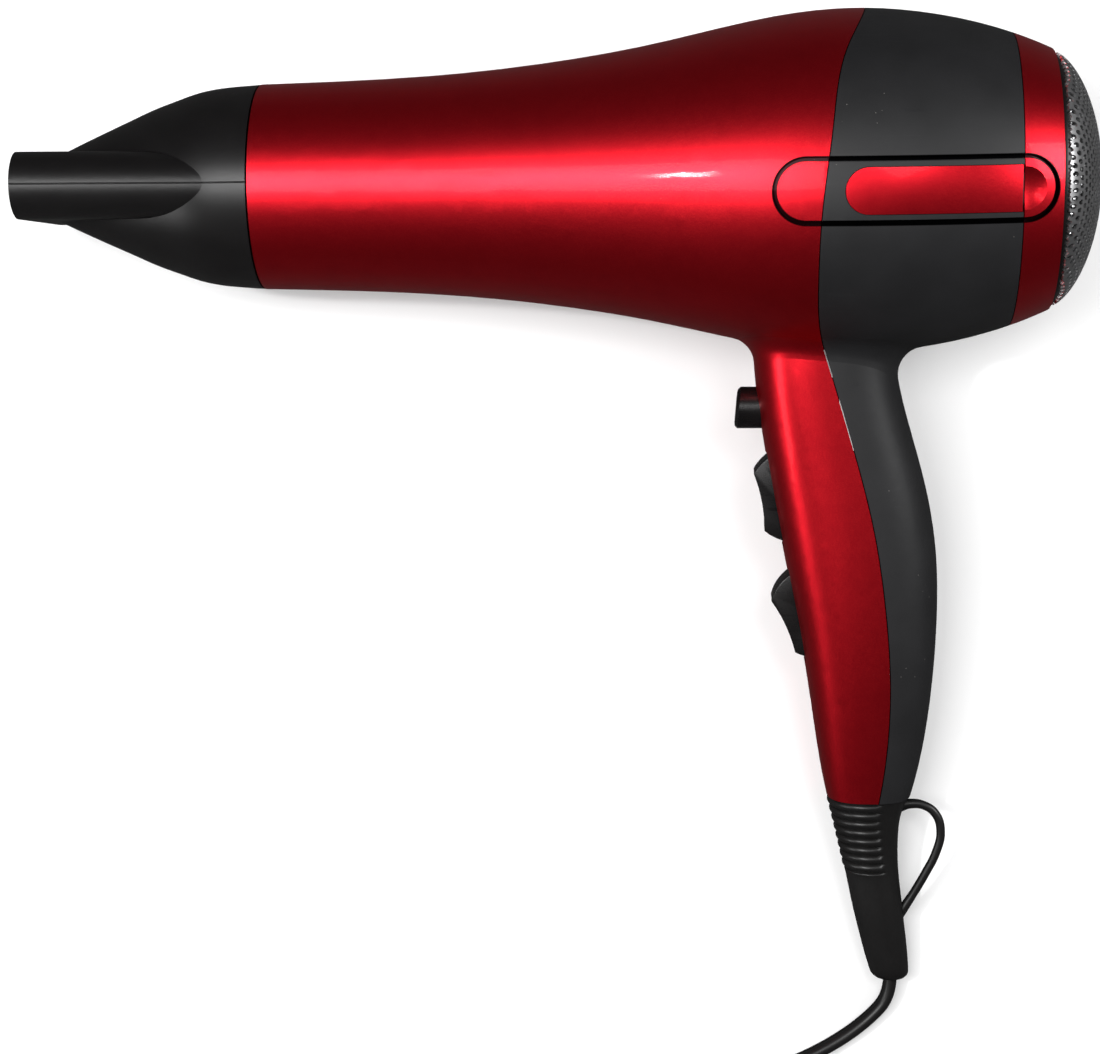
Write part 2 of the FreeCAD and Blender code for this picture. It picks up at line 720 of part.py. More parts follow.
def build_impeller():
    start, end, hub = 133.5, 146.0, size("fan_hub_radius")
    bore = size("shaft_radius")
    cup = turned("fan_hub", [
        (end - 2.5, 3.0), (end - 2.5, hub - 1.4), (start, hub - 1.4), (start, hub), (end - 2, hub),
        (end, hub - 2), (end, bore), (start + 2, bore), (start + 2, 3.0)])
    blades = radial_blades("fan_blade", int(size("fan_blades")), hub - 0.5, size("fan_tip_radius"),
                           start, end, 38)
    return fuse("impeller_solid", [cup, blades])


build_motor()
finished(build_duct(), "fan_duct")
finished(build_impeller(), "fan_impeller")
diodes = [cylinder("diode", 1.3, 4.2, (92.6, 8.5 * math.cos(math.pi / 4 * k), 8.5 * math.sin(math.pi / 4 * k)))
          for k in (1, 3, 5, 7)]
finished(group("diode_set", diodes), "rectifier_diodes")


# ---------------------------------------------------------------- switches
def build_rocker(name, middle, tilt):
    """A rocker with round ends about its pivot and a hollow face, tilted at rest."""
    body = new_body(name)
    sketch = new_sketch(body, "XY_Plane")
    reach, depth = size("rocker_radius"), size("rocker_depth")
    pivot = rocker_pivot(middle)
    edge_out = 3.9 + depth
    edge_up = math.sqrt(reach ** 2 - edge_out ** 2)

    def place(out, up):
        turn = math.radians(tilt)
        along = out * math.cos(turn) - up * math.sin(turn)
        across = out * math.sin(turn) + up * math.cos(turn)
        return pivot + FACE_OUT * along + FACE_UP * across

    side_out = -3.5
    side_up = math.sqrt(reach ** 2 - side_out ** 2)
    mid_angle = (math.atan2(edge_up, edge_out) + math.atan2(side_up, side_out)) / 2
    mid = (reach * math.cos(mid_angle), reach * math.sin(mid_angle))
    top, bottom = place(edge_out, edge_up), place(edge_out, -edge_up)
    inner_top, inner_bottom = place(side_out, side_up), place(side_out, -side_up)
    sketch.addGeometry(Part.Arc(top, place(edge_out - 0.7, 0), bottom))
    sketch.addGeometry(Part.Arc(bottom, place(mid[0], -mid[1]), inner_bottom))
    draw_lines(sketch, [inner_bottom, inner_top])
    sketch.addGeometry(Part.Arc(inner_top, place(*mid), top))
    pad(body, sketch, "2 * Sizes.rocker_half_width")
    bore = new_sketch(body, "XY_Plane")
    draw_circle(bore, (pivot.x, pivot.y, 0), size("pin_radius") + size("fit_gap"))
    pocket = pad(body, bore, FAR, type_name="PartDesign::Pocket")
    pocket.Type = "ThroughAll"
    return body


finished(build_rocker("heat_rocker_body", HEAT_ROCKER_AT, 0.0), "heat_rocker")
finished(build_rocker("speed_rocker_body", SPEED_ROCKER_AT, -size("rocker_swing")), "speed_rocker")


def build_switch_frame():
    """A channel behind the rockers whose two cheeks carry the pivot pins."""
    low = -44.0
    middle = HEAT_ROCKER_AT
    cheeks = [face_block("cheek", middle, (-15.5, -3.4), (low, 13.0), side)
              for side in ((5.3, 6.6), (-6.6, -5.3))]
    back = face_block("channel_back", middle, (-15.5, -14.0), (low, 13.0), (-6.6, 6.6))
    holes = [cylinder("boss_gap", 3.6, 30, (130, SCREW_HEIGHTS[0], 0))]
    for place_at in (HEAT_ROCKER_AT, SPEED_ROCKER_AT):
        pivot = rocker_pivot(place_at)
        holes.append(cylinder("pin_seat", "pin_radius", 20, (pivot.x, pivot.y, -10), SIDE))
    return cut("switch_frame_solid", fuse("switch_channel", cheeks + [back]), holes)


finished(build_switch_frame(), "switch_frame")
pins = []
for place_at in (HEAT_ROCKER_AT, SPEED_ROCKER_AT):
    pivot = rocker_pivot(place_at)
    pins.append(cylinder("rocker_pin", "pin_radius", 13.2, (pivot.x, pivot.y, -6.6), SIDE))
finished(group("rocker_pin_pair", pins), "rocker_pins")
for label, middle in (("heat_switch", HEAT_ROCKER_AT), ("speed_switch", SPEED_ROCKER_AT)):
    block = face_block(label + "_case", middle, (-24.0, -15.7), (-7.0, 7.0), (-6.0, 6.0))
    blades = [face_block(label + "_tag", middle, (-27.0, -24.0), (up - 0.4, up + 0.4), (-2.0, 2.0))
              for up in (-4.5, 0.0, 4.5)]
    finished(fuse(label + "_solid", [block] + blades), label)


def build_button():
    """A round cap with a retaining collar and a hollow back for the spring."""
    front, radius = size("button_front"), size("button_radius")
    cap = cylinder("button_cap", "button_radius", 12.0, (front, BUTTON_HEIGHT, 0))
    collar = cylinder("button_collar", radius + 0.9, 1.4, (front + 10.4, BUTTON_HEIGHT, 0))
    hollow = cylinder("button_hollow", 3.4, 8.0, (front + 6.0, BUTTON_HEIGHT, 0))
    return cut("button_solid", fuse("button_outside", [cap, collar]), [hollow])


def build_spring():
    turns, pitch, radius, wire = 5, 2.2, 2.6, 0.35
    helix = Part.makeHelix(pitch, pitch * turns, radius)
    edge = helix.Edges[0]
    section = Part.Wire(Part.makeCircle(wire, edge.valueAt(edge.FirstParameter),
                                        edge.tangentAt(edge.FirstParameter)))
    solid = Part.Wire(helix).makePipeShell([section], True, True)
    at = Vector(size("button_front") + 6.5, BUTTON_HEIGHT, 0)
    return solid.transformGeometry(Placement(at, Rotation(SIDE, ALONG)).toMatrix())


finished(build_button(), "cool_button")
finished(own_shape("button_spring_solid", build_spring()), "button_spring")
cool_base = size("button_front") + 12.0 + size("button_travel") + 3.5
finished(fuse("cool_switch_solid", [
    box("cool_switch_case", (cool_base, BUTTON_HEIGHT - 7, -5), (8, 14, 10)),
    cylinder("cool_switch_stem", 1.6, 5.0, (cool_base - 5.0, BUTTON_HEIGHT, 0))]), "cool_switch")


# ---------------------------------------------------------------- handle end
def relief_form(name, inset):
    body = new_body(name)
    sections = []
    for height, middle, radius in RELIEF_SECTIONS:
        sketch = new_sketch(body, "XZ_Plane", -height)
        draw_circle(sketch, (middle, 0), radius - inset)
        sections.append(sketch)
    loft(body, sections)
    return body


def build_relief():
    """A tapered rubber sleeve with ribs in front, a plug in the handle and the hanging loop."""
    outside = relief_form("relief_outside", 0.0)
    core = relief_form("relief_core", 1.0)
    count = int(size("rib_count"))
    gaps = []
    for rib in range(count):
        height = -162.0 - rib * 2.75
        gaps.append(box(f"rib_gap_{rib}", (130, height - 0.55, -20), (25.5, 1.1, 40)))
    ribbed = cut("relief_ribbed", outside, [cut("rib_gaps", fuse("rib_slabs", gaps), [core])])
    stub = new_body("relief_stub")
    sketch = new_sketch(stub, "XZ_Plane", 151.0)
    draw_rounded(sketch, (153.75, 0), 8.4, 8.8, size("handle_squareness"))
    pad(stub, sketch, 8.0, both_ways=False)
    loop = new_body("hang_loop")
    path = new_sketch(loop, "XY_Plane")
    draw_curve(path, LOOP_LINE)
    ring = new_sketch(loop, "YZ_Plane", LOOP_LINE[0][0])
    draw_circle(ring, (LOOP_LINE[0][1], 0), LOOP_WIRE)
    doc.recompute()
    pipe = loop.newObject("PartDesign::AdditivePipe", "Wire")
    pipe.Profile = ring
    pipe.Spine = path
    return fuse("relief_solid", [ribbed, stub, loop])


finished(build_relief(), "strain_relief")
clamp = box("clamp_block", (146.5, -146.5, -8.0), (13.0, 5.0, 16.0))
lead_ways = [cylinder("lead_way", 1.3, 10, (153.0, -150, side), UP) for side in (-4.5, 4.5)]
clamp_holes = [cylinder("clamp_hole", 1.2, 20, (x, -150, 0), UP) for x in (149.0, 157.0)]
finished(cut("clamp_solid", clamp, lead_ways + clamp_holes), "cord_clamp")
clamp_screws = []
for x in (149.0, 157.0):
    head = cylinder("clamp_screw_head", 2.2, 1.5, (x, -141.5, 0), UP)
    shank = cylinder("clamp_screw_shank", 1.2, 5.0, (x, -146.5, 0), UP)
    clamp_screws.append(fuse("clamp_screw", [head, shank]))
finished(group("clamp_screw_pair", clamp_screws), "clamp_screws")
handle_screws = []
for height in SCREW_HEIGHTS:
    head = cylinder("handle_screw_head", 2.9, 2.2, (161.0, height, 0))
    shank = cylinder("handle_screw_shank", 1.4, 16.0, (145.0, height, 0))
    handle_screws.append(fuse("handle_screw", [head, shank]))
finished(group("handle_screw_pair", handle_screws), "handle_screws")


# ---------------------------------------------------------------- wires and cord
# The cord's route where it isn't coiled, in millimetres, on the surface that carries the dryer.
CORD_ROUTE = [
    (88.63, -123.54, 4.8), (88.6, -129.0, 3.9), (83.2, -135.2, 3.2), (74.5, -141.6, 3.1),
    (62.0, -147.8, 3.2), (49.5, -151.2, 3.6), (34.7, -152.0, 3.9),
]
COIL_MIDDLE = (38.0, -190.0)
TAIL_ROUTE = [
    (4.9, -170.9, 9.9), (0.2, -183.5, 12.2), (0.3, -196.5, 15.6), (6.0, -206.0, 18.8),
    (20.0, -209.2, 20.5),
]
PLUG_REAR = Vector(*TAIL_ROUTE[-1])


def rounded_path(points):
    """Straight runs joined by the largest tangent arcs that the runs allow, and their radii."""
    points = [Vector(*point) for point in points]
    edges, radii, here = [], [], points[0]
    for before, corner, after in zip(points, points[1:], points[2:]):
        coming, going = corner - before, after - corner
        turn = coming.getAngle(going)
        step = 0.45 * min(coming.Length, going.Length)
        radius = step / math.tan(turn / 2)
        coming.normalize()
        going.normalize()
        start, end = corner - coming * step, corner + going * step
        inward = going - coming
        inward.normalize()
        middle = corner + inward * (radius / math.cos(turn / 2) - radius)
        edges.append(Part.LineSegment(here, start).toShape())
        edges.append(Part.Arc(start, middle, end).toShape())
        radii.append(radius)
        here = end
    edges.append(Part.LineSegment(here, points[-1]).toShape())
    return Part.Wire(edges), radii


def round_tube(points, radius):
    """A solid tube along a rounded path, compared with its section times its length."""
    path, radii = rounded_path(points)
    start = path.Edges[0].valueAt(path.Edges[0].FirstParameter)
    along = path.Edges[0].tangentAt(path.Edges[0].FirstParameter)
    section = Part.Wire(Part.makeCircle(radius, start, along))
    solid = path.makePipeShell([section], True, False)
    expected = math.pi * radius ** 2 * path.Length
    if abs(solid.Volume - expected) > 0.01 * expected:
        raise RuntimeError(f"tube volume {solid.Volume:.1f} is not {expected:.1f}")
    return solid, path.Length, radii


def build_cord():
    for label, route in (("cord", CORD_ROUTE), ("cord_tail", TAIL_ROUTE)):
        solid, length, radii = round_tube(route, size("cord_radius"))
        print(f"{label}: length {length:.1f}, radii", [round(radius, 1) for radius in radii])
        finished(own_shape(label + "_tube", solid), label, lying=False)
    middle, half = size("coil_mid_radius"), size("coil_half_band")
    ring = [cylinder("coil_ring", middle + half, "coil_height", COIL_MIDDLE + (size("coil_base"),), SIDE),
            cylinder("coil_middle", middle - half, 40.0, COIL_MIDDLE + (-10.0,), SIDE)]
    finished(cut("coil_solid", ring[0], [ring[1]]), "cord_coil", lying=False)


def build_tie():
    """A flat band round the coil's section."""
    width, thick, clear = 8.0, 0.8, 0.6
    across = 2 * (size("coil_half_band") + clear)
    over = size("coil_height") + 0.2
    turn = Rotation(SIDE, 20)
    middle = Vector(COIL_MIDDLE[0], COIL_MIDDLE[1], size("coil_base") - 0.05)
    corner = Vector(size("coil_mid_radius") - across / 2, -width / 2, 0)
    inner = box("tie_inside", middle + turn.multVec(corner), (across, width, over), turn)
    corner = corner - Vector(thick, 0, thick)
    outer = box("tie_outside", middle + turn.multVec(corner),
                (across + 2 * thick, width, over + 2 * thick), turn)
    return cut("tie_band", outer, [inner])


def build_plug():
    """A two-pin plug whose body narrows to the cord, lying on the coil."""
    body = new_body("plug_form")
    sections = []
    for along, half_wide, half_high in ((0, 5.0, 4.6), (10, 6.6, 5.8), (22, 9.5, 7.2), (32, 13.2, 7.4),
                                        (38, 13.6, 7.4)):
        sketch = new_sketch(body, "YZ_Plane", PLUG_REAR.x + along)
        draw_rounded(sketch, (PLUG_REAR.y, PLUG_REAR.z), half_wide, half_high, 3.0)
        sections.append(sketch)
    loft(body, sections)
    finished(body, "plug_body", lying=False)
    pins = [cylinder("prong", "prong_radius", "prong_length",
                     (PLUG_REAR.x + 38, PLUG_REAR.y + side * size("prong_spacing") / 2, PLUG_REAR.z))
            for side in (-1, 1)]
    finished(group("prong_pair", pins), "plug_pins", lying=False)


build_cord()
finished(build_tie(), "cord_tie", lying=False)
build_plug()

LEADS_BELOW = [(153.0, -150.0), (153.0, -139.0), (157.5, -130.0), (160.5, -121.0)]
LEADS_ABOVE = [(152.0, -68.0), (151.0, -52.0), (140.5, -38.3), (124.0, -34.4), (108.0, -32.6),
               (97.0, -27.5), (93.5, -17.0)]
leads = []
for side in (-4.5, 4.5):
    for route in (LEADS_BELOW, LEADS_ABOVE):
        leads.append(own_shape("lead", round_tube([(x, y, side) for x, y in route], 0.9)[0]))
finished(group("lead_set", leads), "inner_leads")


# ---------------------------------------------------------------- check and write
doc.recompute()
for thing in doc.Objects:
    if "Invalid" in thing.State or "Error" in thing.State:
        raise RuntimeError(f"{thing.Name} ({thing.Label}) failed: {thing.State}")
for piece in pieces:
    if piece.Shape.isNull() or not piece.Shape.isValid():
        raise RuntimeError(f"{piece.Label} has no valid shape")
for piece in pieces:
    piece.Shape.exportStep(f"parts/{piece.Label}.step")
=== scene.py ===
"""Hair dryer finish: the surfaces, cord, perforated dome, controls and studio round the fixed frame.

The dryer lies on its side. Its own layout has x along the barrel from the front rim to the rear, y up
out of the handle and z to its left side, in millimetres, and LAYOUT lays that down in the frame.
"""

import math

import bmesh
import bpy
from bpy.props import FloatProperty, FloatVectorProperty, IntProperty, PointerProperty
from mathutils import Euler, Matrix, Vector


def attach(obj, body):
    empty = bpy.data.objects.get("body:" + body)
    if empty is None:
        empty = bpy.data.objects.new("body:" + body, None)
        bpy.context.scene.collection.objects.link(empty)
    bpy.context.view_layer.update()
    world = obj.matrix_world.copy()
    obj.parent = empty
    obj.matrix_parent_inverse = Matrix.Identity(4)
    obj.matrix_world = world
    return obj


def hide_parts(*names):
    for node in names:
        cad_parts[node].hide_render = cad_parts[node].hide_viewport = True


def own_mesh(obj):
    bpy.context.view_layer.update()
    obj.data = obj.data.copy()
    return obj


bl_info = {
    "name": "Hair Dryer Finish",
    "version": (1, 0, 0),
    "blender": (4, 5, 0),
    "location": "View3D > Sidebar > Hair Dryer",
    "description": "Builds the surfaces, cord and small pieces of a hair dryer round its frame",
    "category": "Add Mesh",
}

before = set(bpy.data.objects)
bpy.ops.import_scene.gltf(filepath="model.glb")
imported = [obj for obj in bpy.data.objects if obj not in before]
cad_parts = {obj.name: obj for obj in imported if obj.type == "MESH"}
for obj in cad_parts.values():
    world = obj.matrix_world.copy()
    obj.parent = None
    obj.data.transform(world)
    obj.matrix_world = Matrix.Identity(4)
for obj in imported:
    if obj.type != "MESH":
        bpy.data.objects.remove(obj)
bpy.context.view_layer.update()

MM = 0.001
LAYOUT_TURN = Euler((math.radians(10.73), math.radians(-4.13), 0.0))
LAYOUT_ORIGIN = Vector((-73.85, 81.81, 32.09)) * MM
LAYOUT = Matrix.Translation(LAYOUT_ORIGIN) @ LAYOUT_TURN.to_matrix().to_4x4()
NOZZLE_TURN = math.radians(-6.0)
BARREL_ALONG = Matrix(((0, 0, 1, 0), (1, 0, 0, 0), (0, 1, 0, 0), (0, 0, 0, 1)))  # z axis to x axis


# ---------------------------------------------------------------- settings
class HairDryerColours(bpy.types.PropertyGroup):
    """Colours of the finishes that show."""

    pearl: FloatVectorProperty(
        name="Pearl Red", description="Metallic red of the front shell, cap and inlays",
        subtype="COLOR", size=3, min=0.0, max=1.0, default=(0.58, 0.008, 0.018))
    soft_touch: FloatVectorProperty(
        name="Soft Touch", description="Matt dark grey of the rear shell",
        subtype="COLOR", size=3, min=0.0, max=1.0, default=(0.0085, 0.0085, 0.0095))
    moulded: FloatVectorProperty(
        name="Moulded Black", description="Satin black of the nozzle and other mouldings",
        subtype="COLOR", size=3, min=0.0, max=1.0, default=(0.0050, 0.0045, 0.0047))
    rubber: FloatVectorProperty(
        name="Rubber", description="Black of the strain relief and the cord",
        subtype="COLOR", size=3, min=0.0, max=1.0, default=(0.0070, 0.0066, 0.0066))
    floor: FloatVectorProperty(
        name="Floor", description="Pale surface that carries the dryer",
        subtype="COLOR", size=3, min=0.0, max=1.0, default=(0.92, 0.92, 0.92))


class HairDryerSizes(bpy.types.PropertyGroup):
    """Sizes of the pieces made here."""

    cord_width: FloatProperty(
        name="Cord Width", description="Width across both wires of the flat cord",
        unit="LENGTH", min=0.003, max=0.012, default=0.006)
    cord_thickness: FloatProperty(
        name="Cord Thickness", description="Thickness of the flat cord",
        unit="LENGTH", min=0.001, max=0.008, default=0.0032)
    cord_length: FloatProperty(
        name="Cord Length", description="Whole length of the mains cord",
        unit="LENGTH", min=0.5, max=5.0, default=1.8)
    coil_turns: IntProperty(
        name="Coil Turns", description="Turns in each of the coil's two layers",
        min=1, max=8, default=4)
    rib_count: IntProperty(
        name="Ribs", description="Ribs on the front of the strain relief",
        min=1, max=12, default=8)
    hole_pitch: FloatProperty(
        name="Hole Pitch", description="Distance between the dome's holes",
        unit="LENGTH", min=0.001, max=0.01, default=0.0019)
    hole_radius: FloatProperty(
        name="Hole Radius", description="Radius of each hole of the dome",
        unit="LENGTH", min=0.0003, max=0.004, default=0.00062)
    mesh_thickness: FloatProperty(
        name="Mesh Thickness", description="Thickness of the perforated sheet",
        unit="LENGTH", min=0.0002, max=0.002, default=0.0006)
    edge_round: FloatProperty(
        name="Edge Round", description="Rounding of the small moulded pieces' edges",
        unit="LENGTH", min=0.0, max=0.002, default=0.00045)


class HairDryerStage(bpy.types.PropertyGroup):
    """Camera and lights."""

    camera_height: FloatProperty(
        name="Camera Height", description="Height of the camera above the floor",
        unit="LENGTH", min=0.2, max=3.0, default=0.6763)
    lens: FloatProperty(
        name="Lens", description="Focal length of the camera in millimetres",
        min=20.0, max=200.0, default=82.87)
    key_power: FloatProperty(
        name="Key Power", description="Power of the large overhead light in watts",
        min=0.0, max=200.0, default=4.9)
    side_power: FloatProperty(
        name="Side Power", description="Power of the lights beside the dryer in watts",
        min=0.0, max=200.0, default=1.5)
    world_strength: FloatProperty(
        name="Surroundings", description="Brightness of the surroundings",
        min=0.0, max=5.0, default=0.42)


# ---------------------------------------------------------------- shader node groups
def socket(group, name, kind, way="INPUT", default=None):
    """Add a named socket to a node group."""
    made = group.interface.new_socket(name=name, in_out=way, socket_type=f"NodeSocket{kind}")
    if default is not None:
        made.default_value = default
    return made


def node(tree, kind, at=(0, 0), **settings):
    """Add a shader node. Settings that start with a capital are its inputs."""
    made = tree.nodes.new(f"ShaderNode{kind}")
    made.location = at
    for name, value in settings.items():
        if name[0].isupper():
            made.inputs[name.replace("_", " ")].default_value = value
        else:
            setattr(made, name, value)
    return made


def math_node(tree, operation, first, second, at=(0, 0)):
    """Add a Math node fed by sockets or numbers."""
    made = node(tree, "Math", at, operation=operation)
    for index, value in enumerate((first, second)):
        if isinstance(value, (int, float)):
            made.inputs[index].default_value = value
        else:
            tree.links.new(value, made.inputs[index])
    return made.outputs[0]


def new_group(name, inputs, outputs):
    """A node group with its sockets, and its inside's input and output nodes."""
    group = bpy.data.node_groups.new(name, "ShaderNodeTree")
    for title, kind, default in inputs:
        socket(group, title, kind, "INPUT", default)
    for title, kind in outputs:
        socket(group, title, kind, "OUTPUT")
    entry = group.nodes.new("NodeGroupInput")
    leave = group.nodes.new("NodeGroupOutput")
    entry.location, leave.location = (-800, 0), (700, 0)
    return group, entry.outputs, leave.inputs


def noise_in(tree, position, scale, detail, at):
    """A noise texture at a place in a group, driven by a Scale socket or a number."""
    made = node(tree, "TexNoise", at, Detail=detail)
    tree.links.new(position, made.inputs["Vector"])
    if isinstance(scale, (int, float)):
        made.inputs["Scale"].default_value = scale
    else:
        tree.links.new(scale, made.inputs["Scale"])
    return made


def make_moulded_grain():
    """Spark-eroded mould texture: fine pits over a slow waviness."""
    group, given, out = new_group(
        "Moulded Grain",
        [("Position", "Vector", None), ("Grains per Metre", "Float", 3500.0),
         ("Waviness", "Float", 0.25)],
        [("Height", "Float"), ("Tone", "Float")])
    pits = noise_in(group, given["Position"], given["Grains per Metre"], 3.0, (-500, 150))
    waves = noise_in(group, given["Position"], 90.0, 2.0, (-500, -150))
    wavy = math_node(group, "MULTIPLY", waves.outputs["Fac"], given["Waviness"], (-200, -150))
    height = math_node(group, "ADD", pits.outputs["Fac"], wavy, (50, 100))
    tone = math_node(group, "MULTIPLY", waves.outputs["Fac"], pits.outputs["Fac"], (50, -200))
    group.links.new(height, out["Height"])
    group.links.new(tone, out["Tone"])
    return group


def make_dust():
    """Sparse pale specks that have settled on a surface."""
    group, given, out = new_group(
        "Settled Dust", [("Position", "Vector", None), ("Amount", "Float", 0.2)],
        [("Mask", "Float")])
    cells = node(group, "TexVoronoi", (-500, 100), Scale=520.0)
    group.links.new(given["Position"], cells.inputs["Vector"])
    speck = math_node(group, "LESS_THAN", cells.outputs["Distance"], 0.055, (-250, 150))
    patches = noise_in(group, given["Position"], 35.0, 2.0, (-500, -200))
    few = math_node(group, "GREATER_THAN", patches.outputs["Fac"], 0.60, (-250, -150))
    both = math_node(group, "MULTIPLY", speck, few, (0, 50))
    group.links.new(math_node(group, "MULTIPLY", both, given["Amount"], (250, 50)), out["Mask"])
    return group


def make_scuffs():
    """Fine scratches that run mostly along the barrel."""
    group, given, out = new_group(
        "Fine Scuffs", [("Position", "Vector", None), ("Amount", "Float", 0.3)],
        [("Mask", "Float")])
    stretch = node(group, "Mapping", (-600, 100), Scale=(60.0, 900.0, 900.0))
    group.links.new(given["Position"], stretch.inputs["Vector"])
    lines = noise_in(group, stretch.outputs["Vector"], 1.0, 4.0, (-400, 100))
    thin = node(group, "MapRange", (-150, 100))
    thin.inputs["From Min"].default_value = 0.60
    thin.inputs["From Max"].default_value = 0.72
    group.links.new(lines.outputs["Fac"], thin.inputs["Value"])
    patches = noise_in(group, given["Position"], 22.0, 2.0, (-400, -200))
    place = node(group, "MapRange", (-150, -200))
    place.inputs["From Min"].default_value = 0.45
    place.inputs["From Max"].default_value = 0.65
    group.links.new(patches.outputs["Fac"], place.inputs["Value"])
    both = math_node(group, "MULTIPLY", thin.outputs[0], place.outputs[0], (100, 0))
    group.links.new(math_node(group, "MULTIPLY", both, given["Amount"], (300, 0)), out["Mask"])
    return group


def make_flakes():
    """Pearl flakes under a lacquer: each cell has its own brightness and tilt."""
    group, given, out = new_group(
        "Pearl Flakes", [("Position", "Vector", None), ("Flakes per Metre", "Float", 9000.0)],
        [("Sparkle", "Float"), ("Height", "Float")])
    cells = node(group, "TexVoronoi", (-500, 0))
    group.links.new(given["Position"], cells.inputs["Vector"])
    group.links.new(given["Flakes per Metre"], cells.inputs["Scale"])
    parts = node(group, "SeparateColor", (-250, 0))
    group.links.new(cells.outputs["Color"], parts.inputs["Color"])
    lift = math_node(group, "MULTIPLY", parts.outputs["Green"], cells.outputs["Distance"], (0, -100))
    group.links.new(parts.outputs["Red"], out["Sparkle"])
    group.links.new(lift, out["Height"])
    return group


# The stadium of the side strip, in metres: middle in x, half its straight length, its line's radius.
STRIP_MIDDLE, STRIP_STRAIGHT, STRIP_RADIUS = 161.7 * MM, 25.9 * MM, 7.55 * MM
STRIP_SHADE_FULL, STRIP_SHADE_NONE = 0.55 * MM, 0.75 * MM  # from the line's middle: full painted shade, no painted shade


def make_strip_line():
    """Painted shade that darkens the recessed line round the strip on each side of the barrel."""
    group, given, out = new_group("Painted Strip Shade", [("Position", "Vector", None)], [("Mask", "Float")])
    place = node(group, "SeparateXYZ", (-700, 0))
    group.links.new(given["Position"], place.inputs[0])
    offset = math_node(group, "SUBTRACT", place.outputs["X"], STRIP_MIDDLE, (-550, 150))
    beyond = math_node(group, "ABSOLUTE", offset, 0.0, (-400, 150))
    overshoot = math_node(group, "SUBTRACT", beyond, STRIP_STRAIGHT, (-250, 150))
    past = math_node(group, "MAXIMUM", overshoot, 0.0, (-100, 150))
    high = place.outputs["Y"]
    squares = math_node(group, "ADD", math_node(group, "MULTIPLY", past, past, (50, 150)),
                        math_node(group, "MULTIPLY", high, high, (50, -50)), (200, 50))
    reach = math_node(group, "SQRT", squares, 0.0, (350, 50))
    away = math_node(group, "SUBTRACT", reach, STRIP_RADIUS, (500, 50))
    line = node(group, "MapRange", (800, 50))
    line.inputs["From Min"].default_value, line.inputs["From Max"].default_value = STRIP_SHADE_FULL, STRIP_SHADE_NONE
    line.inputs["To Min"].default_value, line.inputs["To Max"].default_value = 1.0, 0.0
    group.links.new(math_node(group, "ABSOLUTE", away, 0.0, (650, 50)), line.inputs["Value"])
    group.links.new(line.outputs[0], out["Mask"])
    return group


GROUPS = {}


def make_groups():
    """Build the shared effects once."""
    GROUPS["grain"] = make_moulded_grain()
    GROUPS["dust"] = make_dust()
    GROUPS["scuffs"] = make_scuffs()
    GROUPS["flakes"] = make_flakes()
    GROUPS["strip_line"] = make_strip_line()


# ---------------------------------------------------------------- materials
class Finish:
    """One material under construction: its tree, its shader and its position socket."""

    def __init__(self, name, colour, roughness, turn=0.0, metallic=0.0, coat=0.0,
                 coat_roughness=0.05, specular=0.5):
        self.material = bpy.data.materials.new(name)
        self.material.use_nodes = True
        self.tree = self.material.node_tree
        self.shader = self.tree.nodes["Principled BSDF"]
        self.shader.inputs["Metallic"].default_value = metallic
        self.shader.inputs["Coat Weight"].default_value = coat
        self.shader.inputs["Coat Roughness"].default_value = coat_roughness
        self.shader.inputs["Specular IOR Level"].default_value = specular
        self.shader.inputs["Roughness"].default_value = roughness
        self.shader.inputs["Base Color"].default_value = (*colour, 1.0)
        place = node(self.tree, "TexCoord", (-1500, 0))
        upright = node(self.tree, "Mapping", (-1300, 0), vector_type="TEXTURE")
        upright.inputs["Location"].default_value = LAYOUT_ORIGIN
        upright.inputs["Rotation"].default_value = (
            LAYOUT_TURN.x + turn, LAYOUT_TURN.y, LAYOUT_TURN.z)
        self.tree.links.new(place.outputs["Object"], upright.inputs["Vector"])
        self.position = upright.outputs["Vector"]
        self.height = None

    def link(self, start, end):
        self.tree.links.new(start, end)

    def group(self, key, at, **values):
        """Place a shared effect, fed with the position and its own values."""
        made = node(self.tree, "Group", at)
        made.node_tree = GROUPS[key]
        for name, value in values.items():
            made.inputs[name.replace("_", " ")].default_value = value
        self.link(self.position, made.inputs["Position"])
        return made.outputs

    def blend(self, mask, first, second, at):
        """A colour that goes from the first to the second with the mask."""
        mix = node(self.tree, "Mix", at, data_type="RGBA")
        self.link(mask, mix.inputs[0])
        for index, value in ((6, first), (7, second)):
            if isinstance(value, (tuple, list)):
                mix.inputs[index].default_value = (*value[:3], 1.0)
            else:
                self.link(value, mix.inputs[index])
        return mix.outputs[2]

    def span(self, value, low, high, at, start=0.0, end=1.0):
        """Map a value from its own range to another."""
        ramp = node(self.tree, "MapRange", at)
        self.link(value, ramp.inputs["Value"])
        for name, number in (("From Min", start), ("From Max", end), ("To Min", low), ("To Max", high)):
            ramp.inputs[name].default_value = number
        return ramp.outputs[0]

    def bump(self, height, depth, at=(-300, -400), strength=0.4):
        """Relief of the given depth in metres."""
        made = node(self.tree, "Bump", at, Strength=strength, Distance=depth)
        self.link(height, made.inputs["Height"])
        if self.height is not None:
            self.link(self.height, made.inputs["Normal"])
        self.height = made.outputs["Normal"]
        self.link(self.height, self.shader.inputs["Normal"])

    def colour_from(self, output):
        self.link(output, self.shader.inputs["Base Color"])

    def roughness_from(self, output):
        self.link(output, self.shader.inputs["Roughness"])


def shade(colour, factor):
    """The colour made darker or lighter."""
    return tuple(min(1.0, part * factor) for part in colour)


